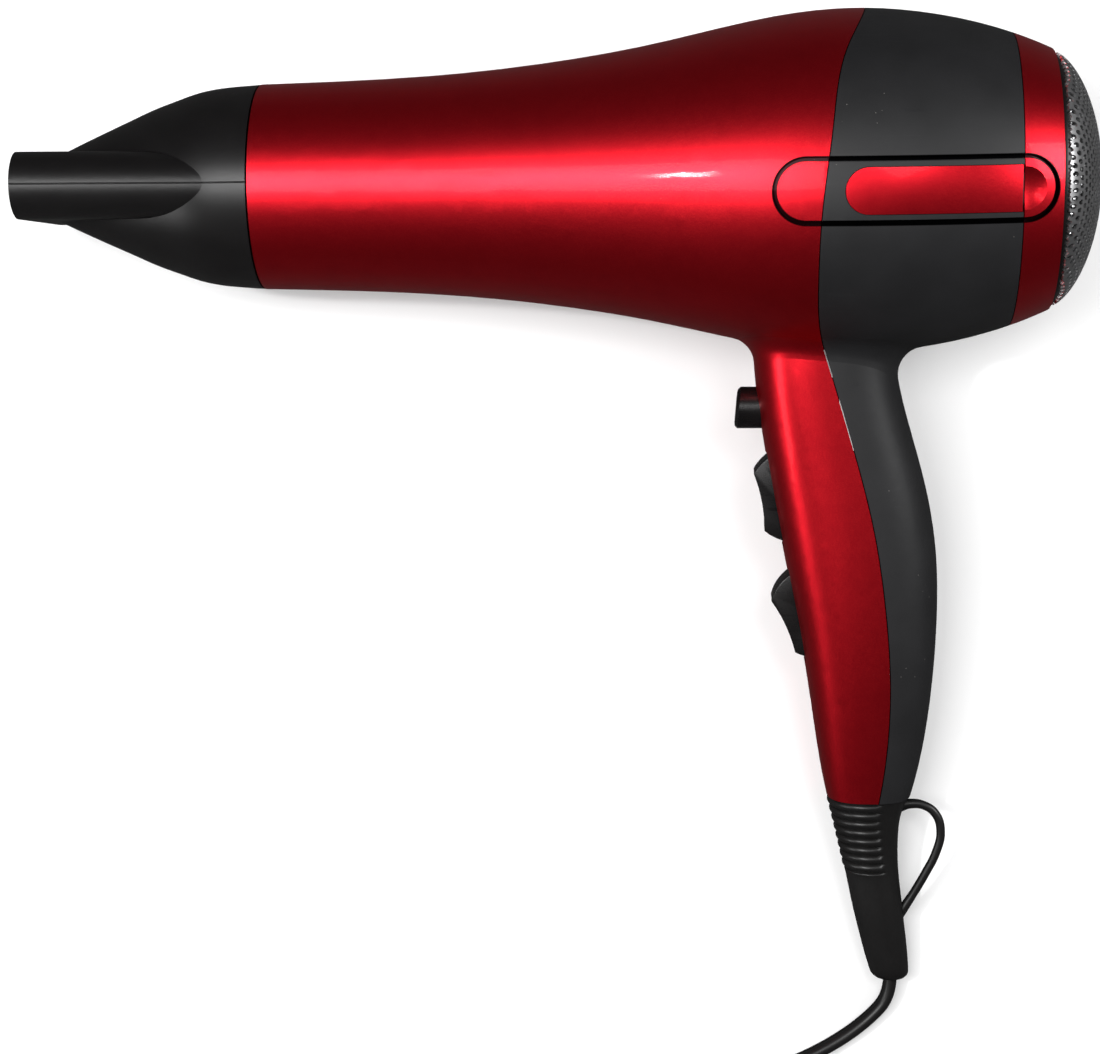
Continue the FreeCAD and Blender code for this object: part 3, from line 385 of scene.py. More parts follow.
def moulded_finish(name, colour, roughness, turn=0.0, grain=0.00003, grains=3500.0, dust=0.25,
                   scuffs=0.3, specular=0.4, variation=0.35, strip_line=False):
    """A moulded surface: grain, slow tone change, faint scuffs and a little dust."""
    finish = Finish(name, colour, roughness, turn, specular=specular)
    texture = finish.group("grain", (-1000, 100), Grains_per_Metre=grains)
    dusty = finish.group("dust", (-1000, -150), Amount=dust)
    scuffed = finish.group("scuffs", (-1000, -350), Amount=scuffs)
    toned = finish.blend(texture["Tone"], shade(colour, 1.0 - variation),
                         shade(colour, 1.0 + 2.0 * variation), (-700, 200))
    worn_and_shade_painted = finish.blend(scuffed["Mask"], toned, shade(colour, 3.0), (-500, 200))
    if strip_line:
        # Painted shade in the strip's groove: the colour at a tenth of its brightness, with no gloss.
        groove_painted_shade = finish.group("strip_line", (-1000, -550))
        worn_and_shade_painted = finish.blend(groove_painted_shade["Mask"], worn_and_shade_painted, shade(colour, 0.1), (-400, 400))
        finish.link(groove_painted_shade["Mask"], finish.shader.inputs["Metallic"])  # painted shade: the groove becomes a black metal, which has no gloss
    finish.colour_from(finish.blend(dusty["Mask"], worn_and_shade_painted, (0.45, 0.43, 0.40), (-300, 200)))
    rough = finish.span(texture["Tone"], roughness - 0.05, roughness + 0.08, (-700, -100))
    finish.roughness_from(math_node(finish.tree, "SUBTRACT", rough, scuffed["Mask"], (-450, -100)))
    finish.bump(texture["Height"], grain)
    return finish


def pearl_red(name, colour, roughness=0.36, strip_line=False):
    """Metallic red with fine flakes under a hard clear coat."""
    finish = Finish(name, colour, roughness, metallic=0.96, coat=0.06, coat_roughness=0.06)
    flakes = finish.group("flakes", (-1000, 200))
    texture = finish.group("grain", (-1000, -50), Grains_per_Metre=240.0, Waviness=0.6)
    dusty = finish.group("dust", (-1000, -300), Amount=0.05)
    spark = finish.span(flakes["Sparkle"], 0.0, 0.22, (-750, 250), start=0.45)
    lit = finish.blend(spark, colour, (0.95, 0.05, 0.04), (-500, 250))
    deep = finish.blend(texture["Tone"], lit, shade(colour, 0.80), (-300, 250))
    groove_painted = deep
    if strip_line:
        # Painted shade in the strip's groove: near-black red.
        groove_painted_shade = finish.group("strip_line", (-1000, -550))
        groove_painted = finish.blend(groove_painted_shade["Mask"], deep, (0.012, 0.001, 0.002), (-200, 450))
    finish.colour_from(finish.blend(dusty["Mask"], groove_painted, (0.6, 0.5, 0.5), (-100, 250)))
    finish.roughness_from(finish.span(flakes["Sparkle"], roughness - 0.03, roughness + 0.04,
                                      (-500, -50)))
    finish.bump(flakes["Height"], 0.000003, strength=0.1)
    return finish


DRAWN_LINE_DEPTH = 0.01 * MM


def metal_finish(name, colour, roughness, along=(40.0, 900.0, 900.0)):
    """Drawn or turned metal: fine lines and a little tarnish."""
    finish = Finish(name, colour, roughness, metallic=1.0)
    stretch = node(finish.tree, "Mapping", (-1100, 0), Scale=along)
    finish.link(finish.position, stretch.inputs["Vector"])
    lines = node(finish.tree, "TexNoise", (-900, 0), Scale=1.0, Detail=5.0)
    finish.link(stretch.outputs["Vector"], lines.inputs["Vector"])
    dusty = finish.group("grain", (-900, -250), Grains_per_Metre=300.0)
    finish.colour_from(finish.blend(dusty["Tone"], colour, shade(colour, 0.55), (-500, 150)))
    finish.roughness_from(finish.span(lines.outputs["Fac"], roughness - 0.1, roughness + 0.15,
                                      (-500, -50)))
    finish.bump(lines.outputs["Fac"], DRAWN_LINE_DEPTH)
    return finish


def mica_finish():
    """Pressed mica sheet: glittering layered flakes."""
    finish = Finish("Mica", (0.62, 0.52, 0.36), 0.42, specular=0.6)
    cells = node(finish.tree, "TexVoronoi", (-900, 150), Scale=300.0)
    finish.link(finish.position, cells.inputs["Vector"])
    parts = node(finish.tree, "SeparateColor", (-700, 150))
    finish.link(cells.outputs["Color"], parts.inputs["Color"])
    finish.colour_from(finish.blend(parts.outputs["Red"], (0.50, 0.40, 0.26), (0.74, 0.66, 0.50),
                                    (-400, 150)))
    finish.roughness_from(finish.span(parts.outputs["Green"], 0.25, 0.6, (-400, -50)))
    finish.bump(cells.outputs["Distance"], 0.00003)
    return finish


def filter_finish():
    """Woven filter cloth."""
    finish = Finish("Filter Mesh", (0.03, 0.03, 0.032), 0.8)
    waves = []
    for number, direction in enumerate(("Y", "Z")):
        wave = node(finish.tree, "TexWave", (-900, 200 - 300 * number), bands_direction=direction,
                    Scale=190.0)
        finish.link(finish.position, wave.inputs["Vector"])
        waves.append(wave.outputs["Fac"])
    weave = math_node(finish.tree, "MAXIMUM", waves[0], waves[1], (-650, 0))
    finish.colour_from(finish.blend(weave, (0.004, 0.004, 0.004), (0.05, 0.05, 0.052), (-400, 150)))
    finish.bump(weave, 0.0002)
    return finish


def nozzle_finish(colour):
    """Satin moulding with the fine line where the two halves of its mould met."""
    finish = moulded_finish("Nozzle Black", colour, 0.40, turn=NOZZLE_TURN, grain=0.00002,
                            scuffs=0.16, dust=0.35, specular=0.3)
    across = node(finish.tree, "SeparateXYZ", (-1100, -600))
    finish.link(finish.position, across.inputs["Vector"])
    offset = math_node(finish.tree, "ABSOLUTE", across.outputs["Y"], 0.0, (-900, -600))
    line = finish.span(offset, 0.0, 1.0, (-700, -600), start=0.00003, end=0.00022)
    finish.bump(line, 0.0003, (-100, -500), strength=0.45)
    return finish


def cord_finish(colour):
    """Flexible cord jacket, with faint drawing lines along its own length."""
    finish = moulded_finish("Cord Jacket", colour, 0.42, grain=0.00001, dust=0.2, scuffs=0.1)
    own = node(finish.tree, "UVMap", (-1300, -700), uv_map="Along")
    stretch = node(finish.tree, "Mapping", (-1100, -700), Scale=(60.0, 3.0, 1.0))
    lines = node(finish.tree, "TexNoise", (-900, -700), Scale=1.0, Detail=2.0)
    finish.link(own.outputs["UV"], stretch.inputs["Vector"])
    finish.link(stretch.outputs["Vector"], lines.inputs["Vector"])
    finish.bump(lines.outputs["Fac"], 0.00003, (-100, -500), strength=0.4)
    return finish


FINISHES = {}
NODE_FINISH = {
    "front_shell": "pearl_red", "rear_cap": "pearl_red", "side_inlay_left": "inlay_red",
    "side_inlay_right": "inlay_red", "rear_shell": "soft_black", "lint_filter": "filter_mesh",
    "nozzle": "nozzle_black", "nozzle_sleeve": "satin_black", "outlet_grille": "satin_black",
    "mica_sleeve": "mica", "heater_board_upright": "mica", "heater_board_flat": "mica",
    "heater_coil": "heating_wire", "thermostat": "steel", "thermal_fuse": "steel",
    "motor_can": "steel", "motor_endcap": "white_nylon", "motor_bushes": "brass",
    "motor_shaft": "steel", "motor_rotor": "iron", "motor_magnets": "iron",
    "fan_duct": "white_nylon", "fan_impeller": "satin_black", "rectifier_diodes": "gloss_black",
    "switch_frame": "dark_nylon", "rocker_pins": "steel", "heat_switch": "satin_black",
    "speed_switch": "satin_black", "cool_switch": "satin_black", "button_spring": "steel",
    "strain_relief": "rubber_black", "cord_clamp": "white_nylon", "clamp_screws": "steel",
    "handle_screws": "steel", "inner_leads": "lead_jacket", "cord_tie": "satin_black",
    "plug_body": "satin_black", "plug_pins": "brass", "intake_grille": "grille_metal",
    "heat_rocker": "gloss_black", "speed_rocker": "gloss_black", "cool_button": "gloss_black",
    "cord": "cord_jacket", "cord_coil": "cord_jacket", "cord_tail": "cord_jacket",
}


def make_finishes(colours):
    """Build every material from the chosen colours."""
    pearl, black = tuple(colours.pearl), tuple(colours.moulded)
    rubber, soft = tuple(colours.rubber), tuple(colours.soft_touch)
    # Pearl Red and Soft Touch carry painted shade in the strip's groove.
    FINISHES["pearl_red"] = pearl_red("Pearl Red", pearl, strip_line=True)
    FINISHES["inlay_red"] = pearl_red("Inlay Red", shade(pearl, 1.15), roughness=0.32)
    FINISHES["soft_black"] = moulded_finish(
        "Soft Touch", soft, 0.56, grain=0.00002, grains=5200.0, scuffs=0.08, dust=0.3,
        strip_line=True)
    FINISHES["nozzle_black"] = nozzle_finish(black)
    FINISHES["satin_black"] = moulded_finish("Satin Black", black, 0.42)
    FINISHES["gloss_black"] = moulded_finish(
        "Control Black", black, 0.30, grain=0.00001, scuffs=0.2, dust=0.3)
    FINISHES["rubber_black"] = moulded_finish(
        "Relief Rubber", rubber, 0.40, grain=0.00002, grains=2600.0, scuffs=0.12)
    FINISHES["cord_jacket"] = cord_finish(rubber)
    FINISHES["lead_jacket"] = moulded_finish(
        "Lead Insulation", (0.42, 0.42, 0.43), 0.5, dust=0.0, scuffs=0.0, variation=0.1)
    FINISHES["white_nylon"] = moulded_finish(
        "Natural Nylon", (0.62, 0.60, 0.54), 0.45, dust=0.1, scuffs=0.0, variation=0.08)
    FINISHES["dark_nylon"] = moulded_finish(
        "Dark Nylon", (0.03, 0.03, 0.03), 0.5, dust=0.0, scuffs=0.0, variation=0.1)
    FINISHES["grille_metal"] = metal_finish("Dome Metal", (0.52, 0.52, 0.53), 0.36,
                                            along=(700.0, 700.0, 700.0))
    FINISHES["steel"] = metal_finish("Plated Steel", (0.55, 0.55, 0.56), 0.3)
    FINISHES["iron"] = metal_finish("Core Iron", (0.14, 0.14, 0.15), 0.55)
    FINISHES["heating_wire"] = metal_finish("Heating Wire", (0.36, 0.33, 0.30), 0.4)
    FINISHES["brass"] = metal_finish("Brass", (0.72, 0.52, 0.22), 0.26)
    FINISHES["mica"] = mica_finish()
    FINISHES["filter_mesh"] = filter_finish()


def wear(piece, finish):
    """Give a piece one of the finishes."""
    piece.data.materials.clear()
    piece.data.materials.append(FINISHES[finish].material)


# ---------------------------------------------------------------- modelling helpers
def clear_selection():
    """Leave edit mode and select nothing, so that an operator acts on one piece."""
    if bpy.context.object and bpy.context.object.mode != "OBJECT":
        bpy.ops.object.mode_set(mode="OBJECT")
    bpy.ops.object.select_all(action="DESELECT")


def take(piece):
    """Make a piece the only selected and active one."""
    clear_selection()
    piece.select_set(True)
    bpy.context.view_layer.objects.active = piece


def add_object(name, mesh):
    piece = bpy.data.objects.new(name, mesh)
    bpy.context.scene.collection.objects.link(piece)
    take(piece)
    return piece


def apply_modifier(piece, kind, **settings):
    """Add a modifier and apply it."""
    take(piece)
    modifier = piece.modifiers.new(kind.title(), kind)
    for name, value in settings.items():
        setattr(modifier, name, value)
    bpy.ops.object.modifier_apply(modifier=modifier.name)


def lay_piece(piece, matrix=None):
    """Move a piece's mesh from the dryer's layout, in metres, to where it lies."""
    piece.data.transform(LAYOUT @ matrix if matrix else LAYOUT)
    piece.data.update()


def smooth(piece, degrees=35.0):
    """Shade smooth, with edges sharper than the angle left crisp."""
    take(piece)
    bpy.ops.object.shade_smooth_by_angle(angle=math.radians(degrees))


def recalculate(piece):
    """Merge doubles and turn every face outwards."""
    take(piece)
    bpy.ops.object.mode_set(mode="EDIT")
    bpy.ops.mesh.select_all(action="SELECT")
    bpy.ops.mesh.remove_doubles(threshold=0.000002)
    bpy.ops.mesh.normals_make_consistent(inside=False)
    bpy.ops.object.mode_set(mode="OBJECT")


def lathe(name, profile, steps):
    """Turn an outline of (x, radius) points, in millimetres, round the barrel's axis."""
    mesh = bpy.data.meshes.new(name)
    points = [(x * MM, r * MM, 0.0) for x, r in profile]
    mesh.from_pydata(points, [(i, i + 1) for i in range(len(points) - 1)], [])
    piece = add_object(name, mesh)
    apply_modifier(piece, "SCREW", axis="X", angle=math.tau, steps=steps, render_steps=steps,
                   screw_offset=0.0, use_merge_vertices=True, merge_threshold=0.000001)
    recalculate(piece)
    return piece


def softened_copy(node_name, name, width):
    """A copy of a frame node with its edges rounded, which then stands for that node."""
    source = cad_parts[node_name]
    piece = add_object(name, source.data.copy())
    bpy.ops.mesh.customdata_custom_splitnormals_clear()
    bpy.ops.object.mode_set(mode="EDIT")
    bpy.ops.mesh.select_all(action="SELECT")
    bpy.ops.mesh.remove_doubles(threshold=0.000002)
    bpy.ops.mesh.dissolve_limited(angle_limit=math.radians(0.6))
    bpy.ops.object.mode_set(mode="OBJECT")
    apply_modifier(piece, "BEVEL", width=width, segments=3, limit_method="ANGLE",
                   angle_limit=math.radians(40.0), use_clamp_overlap=True)
    smooth(piece, 40.0)
    return piece


def put_on(piece, body, slot, finish, *nodes):
    """Finish a piece: its look, its body and the nodes that it stands for; the slot is not used."""
    wear(piece, finish)
    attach(piece, body)
    if nodes:
        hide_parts(*nodes)


# ---------------------------------------------------------------- cord
# The route where the cord isn't coiled, in millimetres, on the surface that carries the dryer.
CORD_ROUTE = [
    (88.63, -123.54, 4.8), (88.6, -129.0, 3.9), (83.2, -135.2, 3.2), (74.5, -141.6, 3.1),
    (62.0, -147.8, 3.2), (49.5, -151.2, 3.6), (34.7, -152.0, 3.9),
]
COIL_MIDDLE = (38.0, -190.0)
TAIL_ROUTE = [
    (4.9, -170.9, 9.9), (0.2, -183.5, 12.2), (0.3, -196.5, 15.6), (6.0, -206.0, 18.8),
    (20.0, -209.2, 20.5),
]


def coil_points(turns):
    """The coil: one layer wound inwards on the floor, and one wound outwards on top of it."""
    outer, pitch, per_turn = 38.2, 3.35, 14
    inside = 0.975  # a spline through points this far apart runs inside their circle
    low, high = 3.2, 9.5
    start_angle, end_angle = math.radians(95.0), math.radians(150.0)
    climb = 0.15
    inner = outer - pitch * turns
    whole = 2 * turns + (end_angle - start_angle) / math.tau
    points = []
    for step in range(1, int(whole * per_turn)):
        turn = step / per_turn
        climbed = min(max((turn - turns) / climb, 0.0), 1.0)
        if turn < turns:
            radius = outer - pitch * turn
        else:
            radius = inner + (outer - inner) * (turn - turns) / (whole - turns)
        radius /= inside
        angle = start_angle + math.tau * turn
        points.append((COIL_MIDDLE[0] + radius * math.cos(angle),
                       COIL_MIDDLE[1] + radius * math.sin(angle), low + (high - low) * climbed))
    return points


def cord_line(points):
    """The cord's middle line: a NURBS spline through the route, read back as points."""
    curve = bpy.data.curves.new("cord_line", "CURVE")
    curve.dimensions = "3D"
    spline = curve.splines.new("NURBS")
    spline.points.add(len(points) - 1)
    for control, point in zip(spline.points, points):
        control.co = (point[0] * MM, point[1] * MM, point[2] * MM, 1.0)
    spline.order_u = 3
    spline.use_endpoint_u = True
    spline.resolution_u = 6
    thing = bpy.data.objects.new("cord_line", curve)
    line = bpy.data.meshes.new_from_object(thing)
    path = [vertex.co.copy() for vertex in line.vertices]
    bpy.data.objects.remove(thing)
    bpy.data.curves.remove(curve)
    bpy.data.meshes.remove(line)
    return path


def twin_section(width, thickness, count=24):
    """Outline of a flat twin cord: two round wires side by side with a shallow web between."""
    lobe = thickness / 2
    apart = width / 2 - lobe
    web = 0.72 * lobe
    outline = []
    for step in range(count):
        angle = math.tau * step / count
        across, along = math.cos(angle), math.sin(angle)
        high = (apart + lobe) * along
        inside = max(0.0, lobe ** 2 - max(abs(high) - apart, 0.0) ** 2)
        waist = 1.0 - (1.0 - web / lobe) * max(0.0, 1.0 - abs(high) / apart) ** 2
        wide = math.sqrt(inside) * waist * (1.0 if across >= 0 else -1.0)
        outline.append((wide if abs(across) > 0.001 else 0.0, high))
    return outline


def build_cord(sizes):
    """The flat cord, standing on its edge, swept along its line."""
    path = cord_line(CORD_ROUTE + coil_points(sizes.coil_turns) + TAIL_ROUTE)
    outline = twin_section(sizes.cord_width, sizes.cord_thickness)
    mesh = bmesh.new()
    along_layer = mesh.loops.layers.uv.new("Along")
    rings, travelled = [], [0.0]
    up = Vector((0, 0, 1))
    for index, point in enumerate(path):
        before, after = path[max(index - 1, 0)], path[min(index + 1, len(path) - 1)]
        forward = (after - before).normalized()
        side = forward.cross(up).normalized()
        over = side.cross(forward)
        rings.append([mesh.verts.new(point + side * across + over * high)
                      for across, high in outline])
        travelled.append(travelled[-1] + (after - before).length / 2)
    count = len(outline)
    for index, (first, second) in enumerate(zip(rings, rings[1:])):
        for step in range(count):
            after = (step + 1) % count
            face = mesh.faces.new((first[step], first[after], second[after], second[step]))
            corners = ((step, index), (step + 1, index), (step + 1, index + 1), (step, index + 1))
            for loop, (around, at) in zip(face.loops, corners):
                loop[along_layer].uv = (around / count, travelled[at] * 50.0)
    mesh.faces.new(reversed(rings[0]))
    mesh.faces.new(rings[-1])
    bmesh.ops.recalc_face_normals(mesh, faces=mesh.faces)
    data = bpy.data.meshes.new("mains_cord")
    mesh.to_mesh(data)
    mesh.free()
    piece = add_object("mains_cord", data)
    smooth(piece, 60.0)
    put_on(piece, "housing", "cord_jacket", "cord_jacket", "cord", "cord_coil", "cord_tail")
    return piece, path


# ---------------------------------------------------------------- strain relief
# Sections of the sleeve: height, middle in x, radius.
RELIEF_SECTIONS = [
    (-158.7, 153.75, 10.7), (-163.5, 153.4, 9.2), (-168.5, 153.6, 8.2), (-178.0, 154.7, 7.1),
    (-190.0, 156.6, 6.5), (-202.0, 158.8, 5.7), (-209.0, 160.1, 4.9),
]
RIB_TOP, RIB_PITCH = -159.2, 2.42
RIB_RISE, RIB_SINK = 0.95, 0.60  # height of a rib over its grooves, and depth of the grooves
RIB_END, RIB_FADE = 3.3, 0.8  # how far behind the sleeve's middle the ribs end, and fade
PLUG_TOP, PLUG_RADIUS = -151.0, 8.3  # the part of the sleeve inside the handle
# Middle of the hanging loop's wire in x and y, and how thick the wire is there.
LOOP_LINE = [
    (158.5, -162.6, 2.0), (161.5, -162.2, 1.6), (164.5, -161.6, 1.15), (168.0, -161.9, 1.0),
    (171.3, -164.2, 1.0), (172.8, -169.0, 1.0), (171.6, -175.0, 1.0), (169.0, -180.5, 1.0),
    (165.8, -186.3, 1.0), (163.0, -190.9, 1.15), (160.4, -195.5, 1.0),
]
LOOP_WIRE = 1.15


def relief_at(height):
    """Middle and radius of the sleeve at a height, on a smooth curve through its sections."""
    last = len(RELIEF_SECTIONS) - 1
    place = next((i for i in range(last) if RELIEF_SECTIONS[i + 1][0] <= height), last - 1)
    first, second = RELIEF_SECTIONS[place], RELIEF_SECTIONS[place + 1]
    before, after = RELIEF_SECTIONS[max(place - 1, 0)], RELIEF_SECTIONS[min(place + 2, last)]
    gap = second[0] - first[0]
    t = (height - first[0]) / gap
    values = []
    for part in (1, 2):
        leaving = (second[part] - before[part]) / (second[0] - before[0]) * gap
        arriving = (after[part] - first[part]) / (after[0] - first[0]) * gap
        values.append((2 * t ** 3 - 3 * t ** 2 + 1) * first[part] + (t ** 3 - 2 * t ** 2 + t) * leaving
                      + (3 * t ** 2 - 2 * t ** 3) * second[part] + (t ** 3 - t ** 2) * arriving)
    return values


def rib_swell(height, behind, ribs):
    """How far a rib stands out of the sleeve, at a height and a distance behind its middle."""
    turn = (RIB_TOP - height) / RIB_PITCH
    outside = max(-turn, turn - ribs, 0.0)
    share = min(max((RIB_END - behind) / RIB_FADE, 0.0), 1.0)
    share *= share * (3.0 - 2.0 * share) * max(1.0 - outside / 0.35, 0.0)
    return share * (RIB_RISE * abs(math.sin(math.pi * turn)) ** 0.55 - RIB_SINK)


def build_relief(sizes):
    """The rubber sleeve: rounded ribs in front, a smooth spine behind and a rounded end."""
    top, middle, step, ribs = RELIEF_SECTIONS[0][0], RELIEF_SECTIONS[0][1], 0.11, sizes.rib_count
    rib_end = RIB_TOP - RIB_PITCH * ribs
    heights = [top - step * index for index in range(int((top + 0.9 - rib_end) / step))]
    heights += [rib_end - 1.5 - index for index in range(int(rib_end + 206.5))]
    stations = [(PLUG_TOP, middle, 0.01, 0.0), (PLUG_TOP, middle, PLUG_RADIUS, 0.0),
                (top + 0.3, middle, PLUG_RADIUS, 0.0)]
    stations += [(height, *relief_at(height), 1.0) for height in heights]
    for height, inset in ((-207.6, 0.05), (-208.3, 0.35), (-208.8, 0.9), (-209.0, 1.7), (-209.0, 4.85)):
        middle, radius = relief_at(height)
        stations.append((height, middle, radius - inset, 0.0))
    count = 72
    vertices, faces = [], []
    for height, middle, radius, ribbed in stations:
        for index in range(count):
            angle = math.tau * index / count
            reach = radius + ribbed * rib_swell(height, radius * math.cos(angle), ribs)
            vertices.append(((middle + reach * math.cos(angle)) * MM, height * MM,
                             reach * math.sin(angle) * MM))
    for ring in range(len(stations) - 1):
        for index in range(count):
            beside = (index + 1) % count
            faces.append((ring * count + index, ring * count + beside,
                          (ring + 1) * count + beside, (ring + 1) * count + index))
    faces.append(tuple(range(count)))
    faces.append(tuple(reversed(range((len(stations) - 1) * count, len(stations) * count))))
    mesh = bpy.data.meshes.new("relief_sleeve")
    mesh.from_pydata(vertices, [], faces)
    sleeve = add_object("relief_sleeve", mesh)
    lay_piece(sleeve)
    recalculate(sleeve)
    smooth(sleeve, 50.0)
    put_on(sleeve, "housing", "rubber_black", "rubber_black", "strain_relief")


def build_loop():
    """The hanging loop: a round wire whose ends spread into the sleeve."""
    curve = bpy.data.curves.new("hanging_loop", "CURVE")
    curve.dimensions = "3D"
    curve.bevel_depth = LOOP_WIRE * MM
    curve.bevel_resolution = 6
    curve.use_fill_caps = True
    spline = curve.splines.new("BEZIER")
    spline.bezier_points.add(len(LOOP_LINE) - 1)
    spline.resolution_u = 8
    for point, (x, y, thick) in zip(spline.bezier_points, LOOP_LINE):
        point.co = (x * MM, y * MM, 0.0)
        point.radius = thick
        point.handle_left_type = point.handle_right_type = "AUTO"
    wire = bpy.data.objects.new("hanging_loop_line", curve)
    bpy.context.scene.collection.objects.link(wire)
    take(wire)
    bpy.ops.object.convert(target="MESH")
    loop = bpy.context.object
    loop.name = loop.data.name = "hanging_loop"
    lay_piece(loop)
    smooth(loop, 50.0)
    put_on(loop, "housing", "rubber_black", "rubber_black")


# ---------------------------------------------------------------- intake dome
DOME_BASE, DOME_RISE, DOME_RADIUS = 196.8, 12.0, 31.0


def dome_height(radius):
    """How far the dome stands behind its rim, at a distance from the axis, in millimetres."""
    share = max(0.0, 1.0 - (radius / DOME_RADIUS) ** 2)
    return DOME_RISE * share ** 0.625


def build_dome(sizes):
    """A six-sided tile with one round hole, repeated into a sheet and pressed over the dome."""
    pitch, hole = sizes.hole_pitch, sizes.hole_radius
    side_turn = math.tau / 6
    clear_selection()
    bpy.ops.mesh.primitive_circle_add(vertices=12, radius=hole)
    sheet = bpy.context.object
    sheet.name = sheet.data.name = "intake_mesh"
    bpy.ops.object.mode_set(mode="EDIT")
    bpy.ops.mesh.select_all(action="SELECT")
    bpy.ops.mesh.extrude_edges_move(TRANSFORM_OT_translate={"value": (0, 0, 0)})
    bpy.ops.transform.resize(value=(1.2, 1.2, 1.2))
    bpy.ops.object.mode_set(mode="OBJECT")
    for vertex in sheet.data.vertices:
        if vertex.co.length > 1.1 * hole:
            angle = math.atan2(vertex.co.y, vertex.co.x)
            folded = (angle + side_turn / 2) % side_turn - side_turn / 2
            reach = pitch / 2 / math.cos(folded)
            vertex.co = Vector((math.cos(angle), math.sin(angle), 0)) * reach
    rise = pitch * math.sin(side_turn)
    rows = int(2 * DOME_RADIUS * MM / rise) + 2
    columns = int(1.6 * 2 * DOME_RADIUS * MM / pitch) + 2
    for count, offset in ((columns, (pitch, 0, 0)), (rows, (pitch / 2, rise, 0))):
        apply_modifier(sheet, "ARRAY", count=count, use_relative_offset=False,
                       use_constant_offset=True, constant_offset_displace=offset,
                       use_merge_vertices=True, merge_threshold=pitch / 50)
    middle = Vector((pitch * (columns - 1) / 2 + pitch * (rows - 1) / 4, rise * (rows - 1) / 2, 0))
    sheet.data.transform(Matrix.Translation(-middle))
    edge = (DOME_RADIUS - 0.35) * MM
    mesh = bmesh.new()
    mesh.from_mesh(sheet.data)
    outside = [face for face in mesh.faces if face.calc_center_median().length > edge]
    bmesh.ops.delete(mesh, geom=outside, context="FACES")
    bmesh.ops.remove_doubles(mesh, verts=mesh.verts, dist=pitch / 50)
    for vertex in mesh.verts:
        if vertex.co.xy.length > edge:
            vertex.co.xy = vertex.co.xy.normalized() * edge
        radius = vertex.co.xy.length / MM
        vertex.co.z = (DOME_BASE + dome_height(radius)) * MM
    mesh.to_mesh(sheet.data)
    mesh.free()
    apply_modifier(sheet, "SOLIDIFY", thickness=sizes.mesh_thickness, offset=-1.0)
    lay_piece(sheet, BARREL_ALONG)
    smooth(sheet, 40.0)
    put_on(sheet, "rear_cap", "grille_metal", "grille_metal", "intake_grille")
    rim_points = [(193.6, 29.9), (193.6, 30.95), (196.9, 30.95), (197.4, 30.9)]
    rim_points += [(DOME_BASE + dome_height(r) + 0.12, r) for r in (30.75, 30.5, 30.3)]
    rim_points += [(DOME_BASE + dome_height(30.3) - 0.8, 30.1), (193.6, 29.9)]
    rim = lathe("intake_rim", rim_points, steps=96)
    lay_piece(rim)
    smooth(rim)
    put_on(rim, "rear_cap", "grille_metal", "satin_black")


# ---------------------------------------------------------------- controls
BUTTON_FRONT, BUTTON_HEIGHT, BUTTON_RADIUS, BUTTON_TRAVEL = 118.8, -56.9, 5.3, 3.0


def build_button():
    """The cool-shot button: a round cap with a slanted, slightly dished end."""
    front, radius = BUTTON_FRONT, BUTTON_RADIUS
    profile = [
        (front + 0.25, 0.0), (front + 0.15, 2.6), (front, 4.0), (front + 0.1, 4.6),
        (front + 0.35, 4.9), (front + 0.8, radius), (front + 10.4, radius),
        (front + 10.4, radius + 0.9), (front + 11.8, radius + 0.9), (front + 11.8, radius),
        (front + 12.0, radius),
        (front + 12.0, 3.4), (front + 6.0, 3.4), (front + 6.0, 0.0),
    ]
    button = lathe("cool_button_cap", profile, steps=48)
    for vertex in button.data.vertices:
        if vertex.co.x < (front + 1.2) * MM:
            vertex.co.x += 0.09 * (vertex.co.y + radius * MM)
    button.data.transform(Matrix.Translation((0, BUTTON_HEIGHT * MM, 0)))
    lay_piece(button)
    smooth(button, 30.0)
    put_on(button, "cool_button", "gloss_black", "gloss_black", "cool_button")


def build_spring():
    """The button's spring, copied whole from the frame with a mesh of its own; it is not shortened when
    the button goes in.
    """
    spring = add_object("button_spring_coil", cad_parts["button_spring"].data.copy())
    put_on(spring, "housing", "steel", "steel", "button_spring")
    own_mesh(spring)


def build_rockers(width):
    """Both rockers with rounded edges."""
    for name in ("heat_rocker", "speed_rocker"):
        rocker = softened_copy(name, name + "_cap", width)
        put_on(rocker, name, "gloss_black", "gloss_black", name)


# ---------------------------------------------------------------- stage
CAMERA_PLACE = (-0.00154, -0.00460)
# Lights: name, place, target, width, height, the power it goes with, and its share of that power.
LIGHTS = (
    ("key_light", (-0.34, 0.05, 0.86), (0.0, 0.05, 0.03), 0.34, 0.50, "key", 1.0),
    ("streak_light", (-0.46, 0.06, 0.90), (0.0, 0.06, 0.05), 0.05, 0.03, "key", 0.5),
    ("front_light", (-0.62, -0.16, 0.30), (0.06, -0.03, 0.03), 0.30, 0.20, "side", 1.0),
    ("rear_light", (0.60, 0.17, 0.45), (0.11, 0.08, 0.04), 0.26, 0.20, "side", 2.0),
    ("inlay_light", (0.18, 0.15, 0.86), (0.10, 0.08, 0.06), 0.26, 0.18, "side", 0.7),
)
SEEN_IN_GLOSS = 0.04  # brightness of the surroundings in glossy surfaces


def aim(thing, target):
    """Turn a light towards a point."""
    direction = Vector(target) - thing.location
    thing.rotation_euler = direction.to_track_quat("-Z", "Y").to_euler()


def add_area(name, at, target, wide, high, power):
    """A rectangular soft light."""
    light = bpy.data.lights.new(name, "AREA")
    light.shape = "RECTANGLE"
    light.size, light.size_y = wide, high
    light.energy = power
    thing = bpy.data.objects.new(name, light)
    bpy.context.scene.collection.objects.link(thing)
    thing.location = at
    aim(thing, target)
    return thing


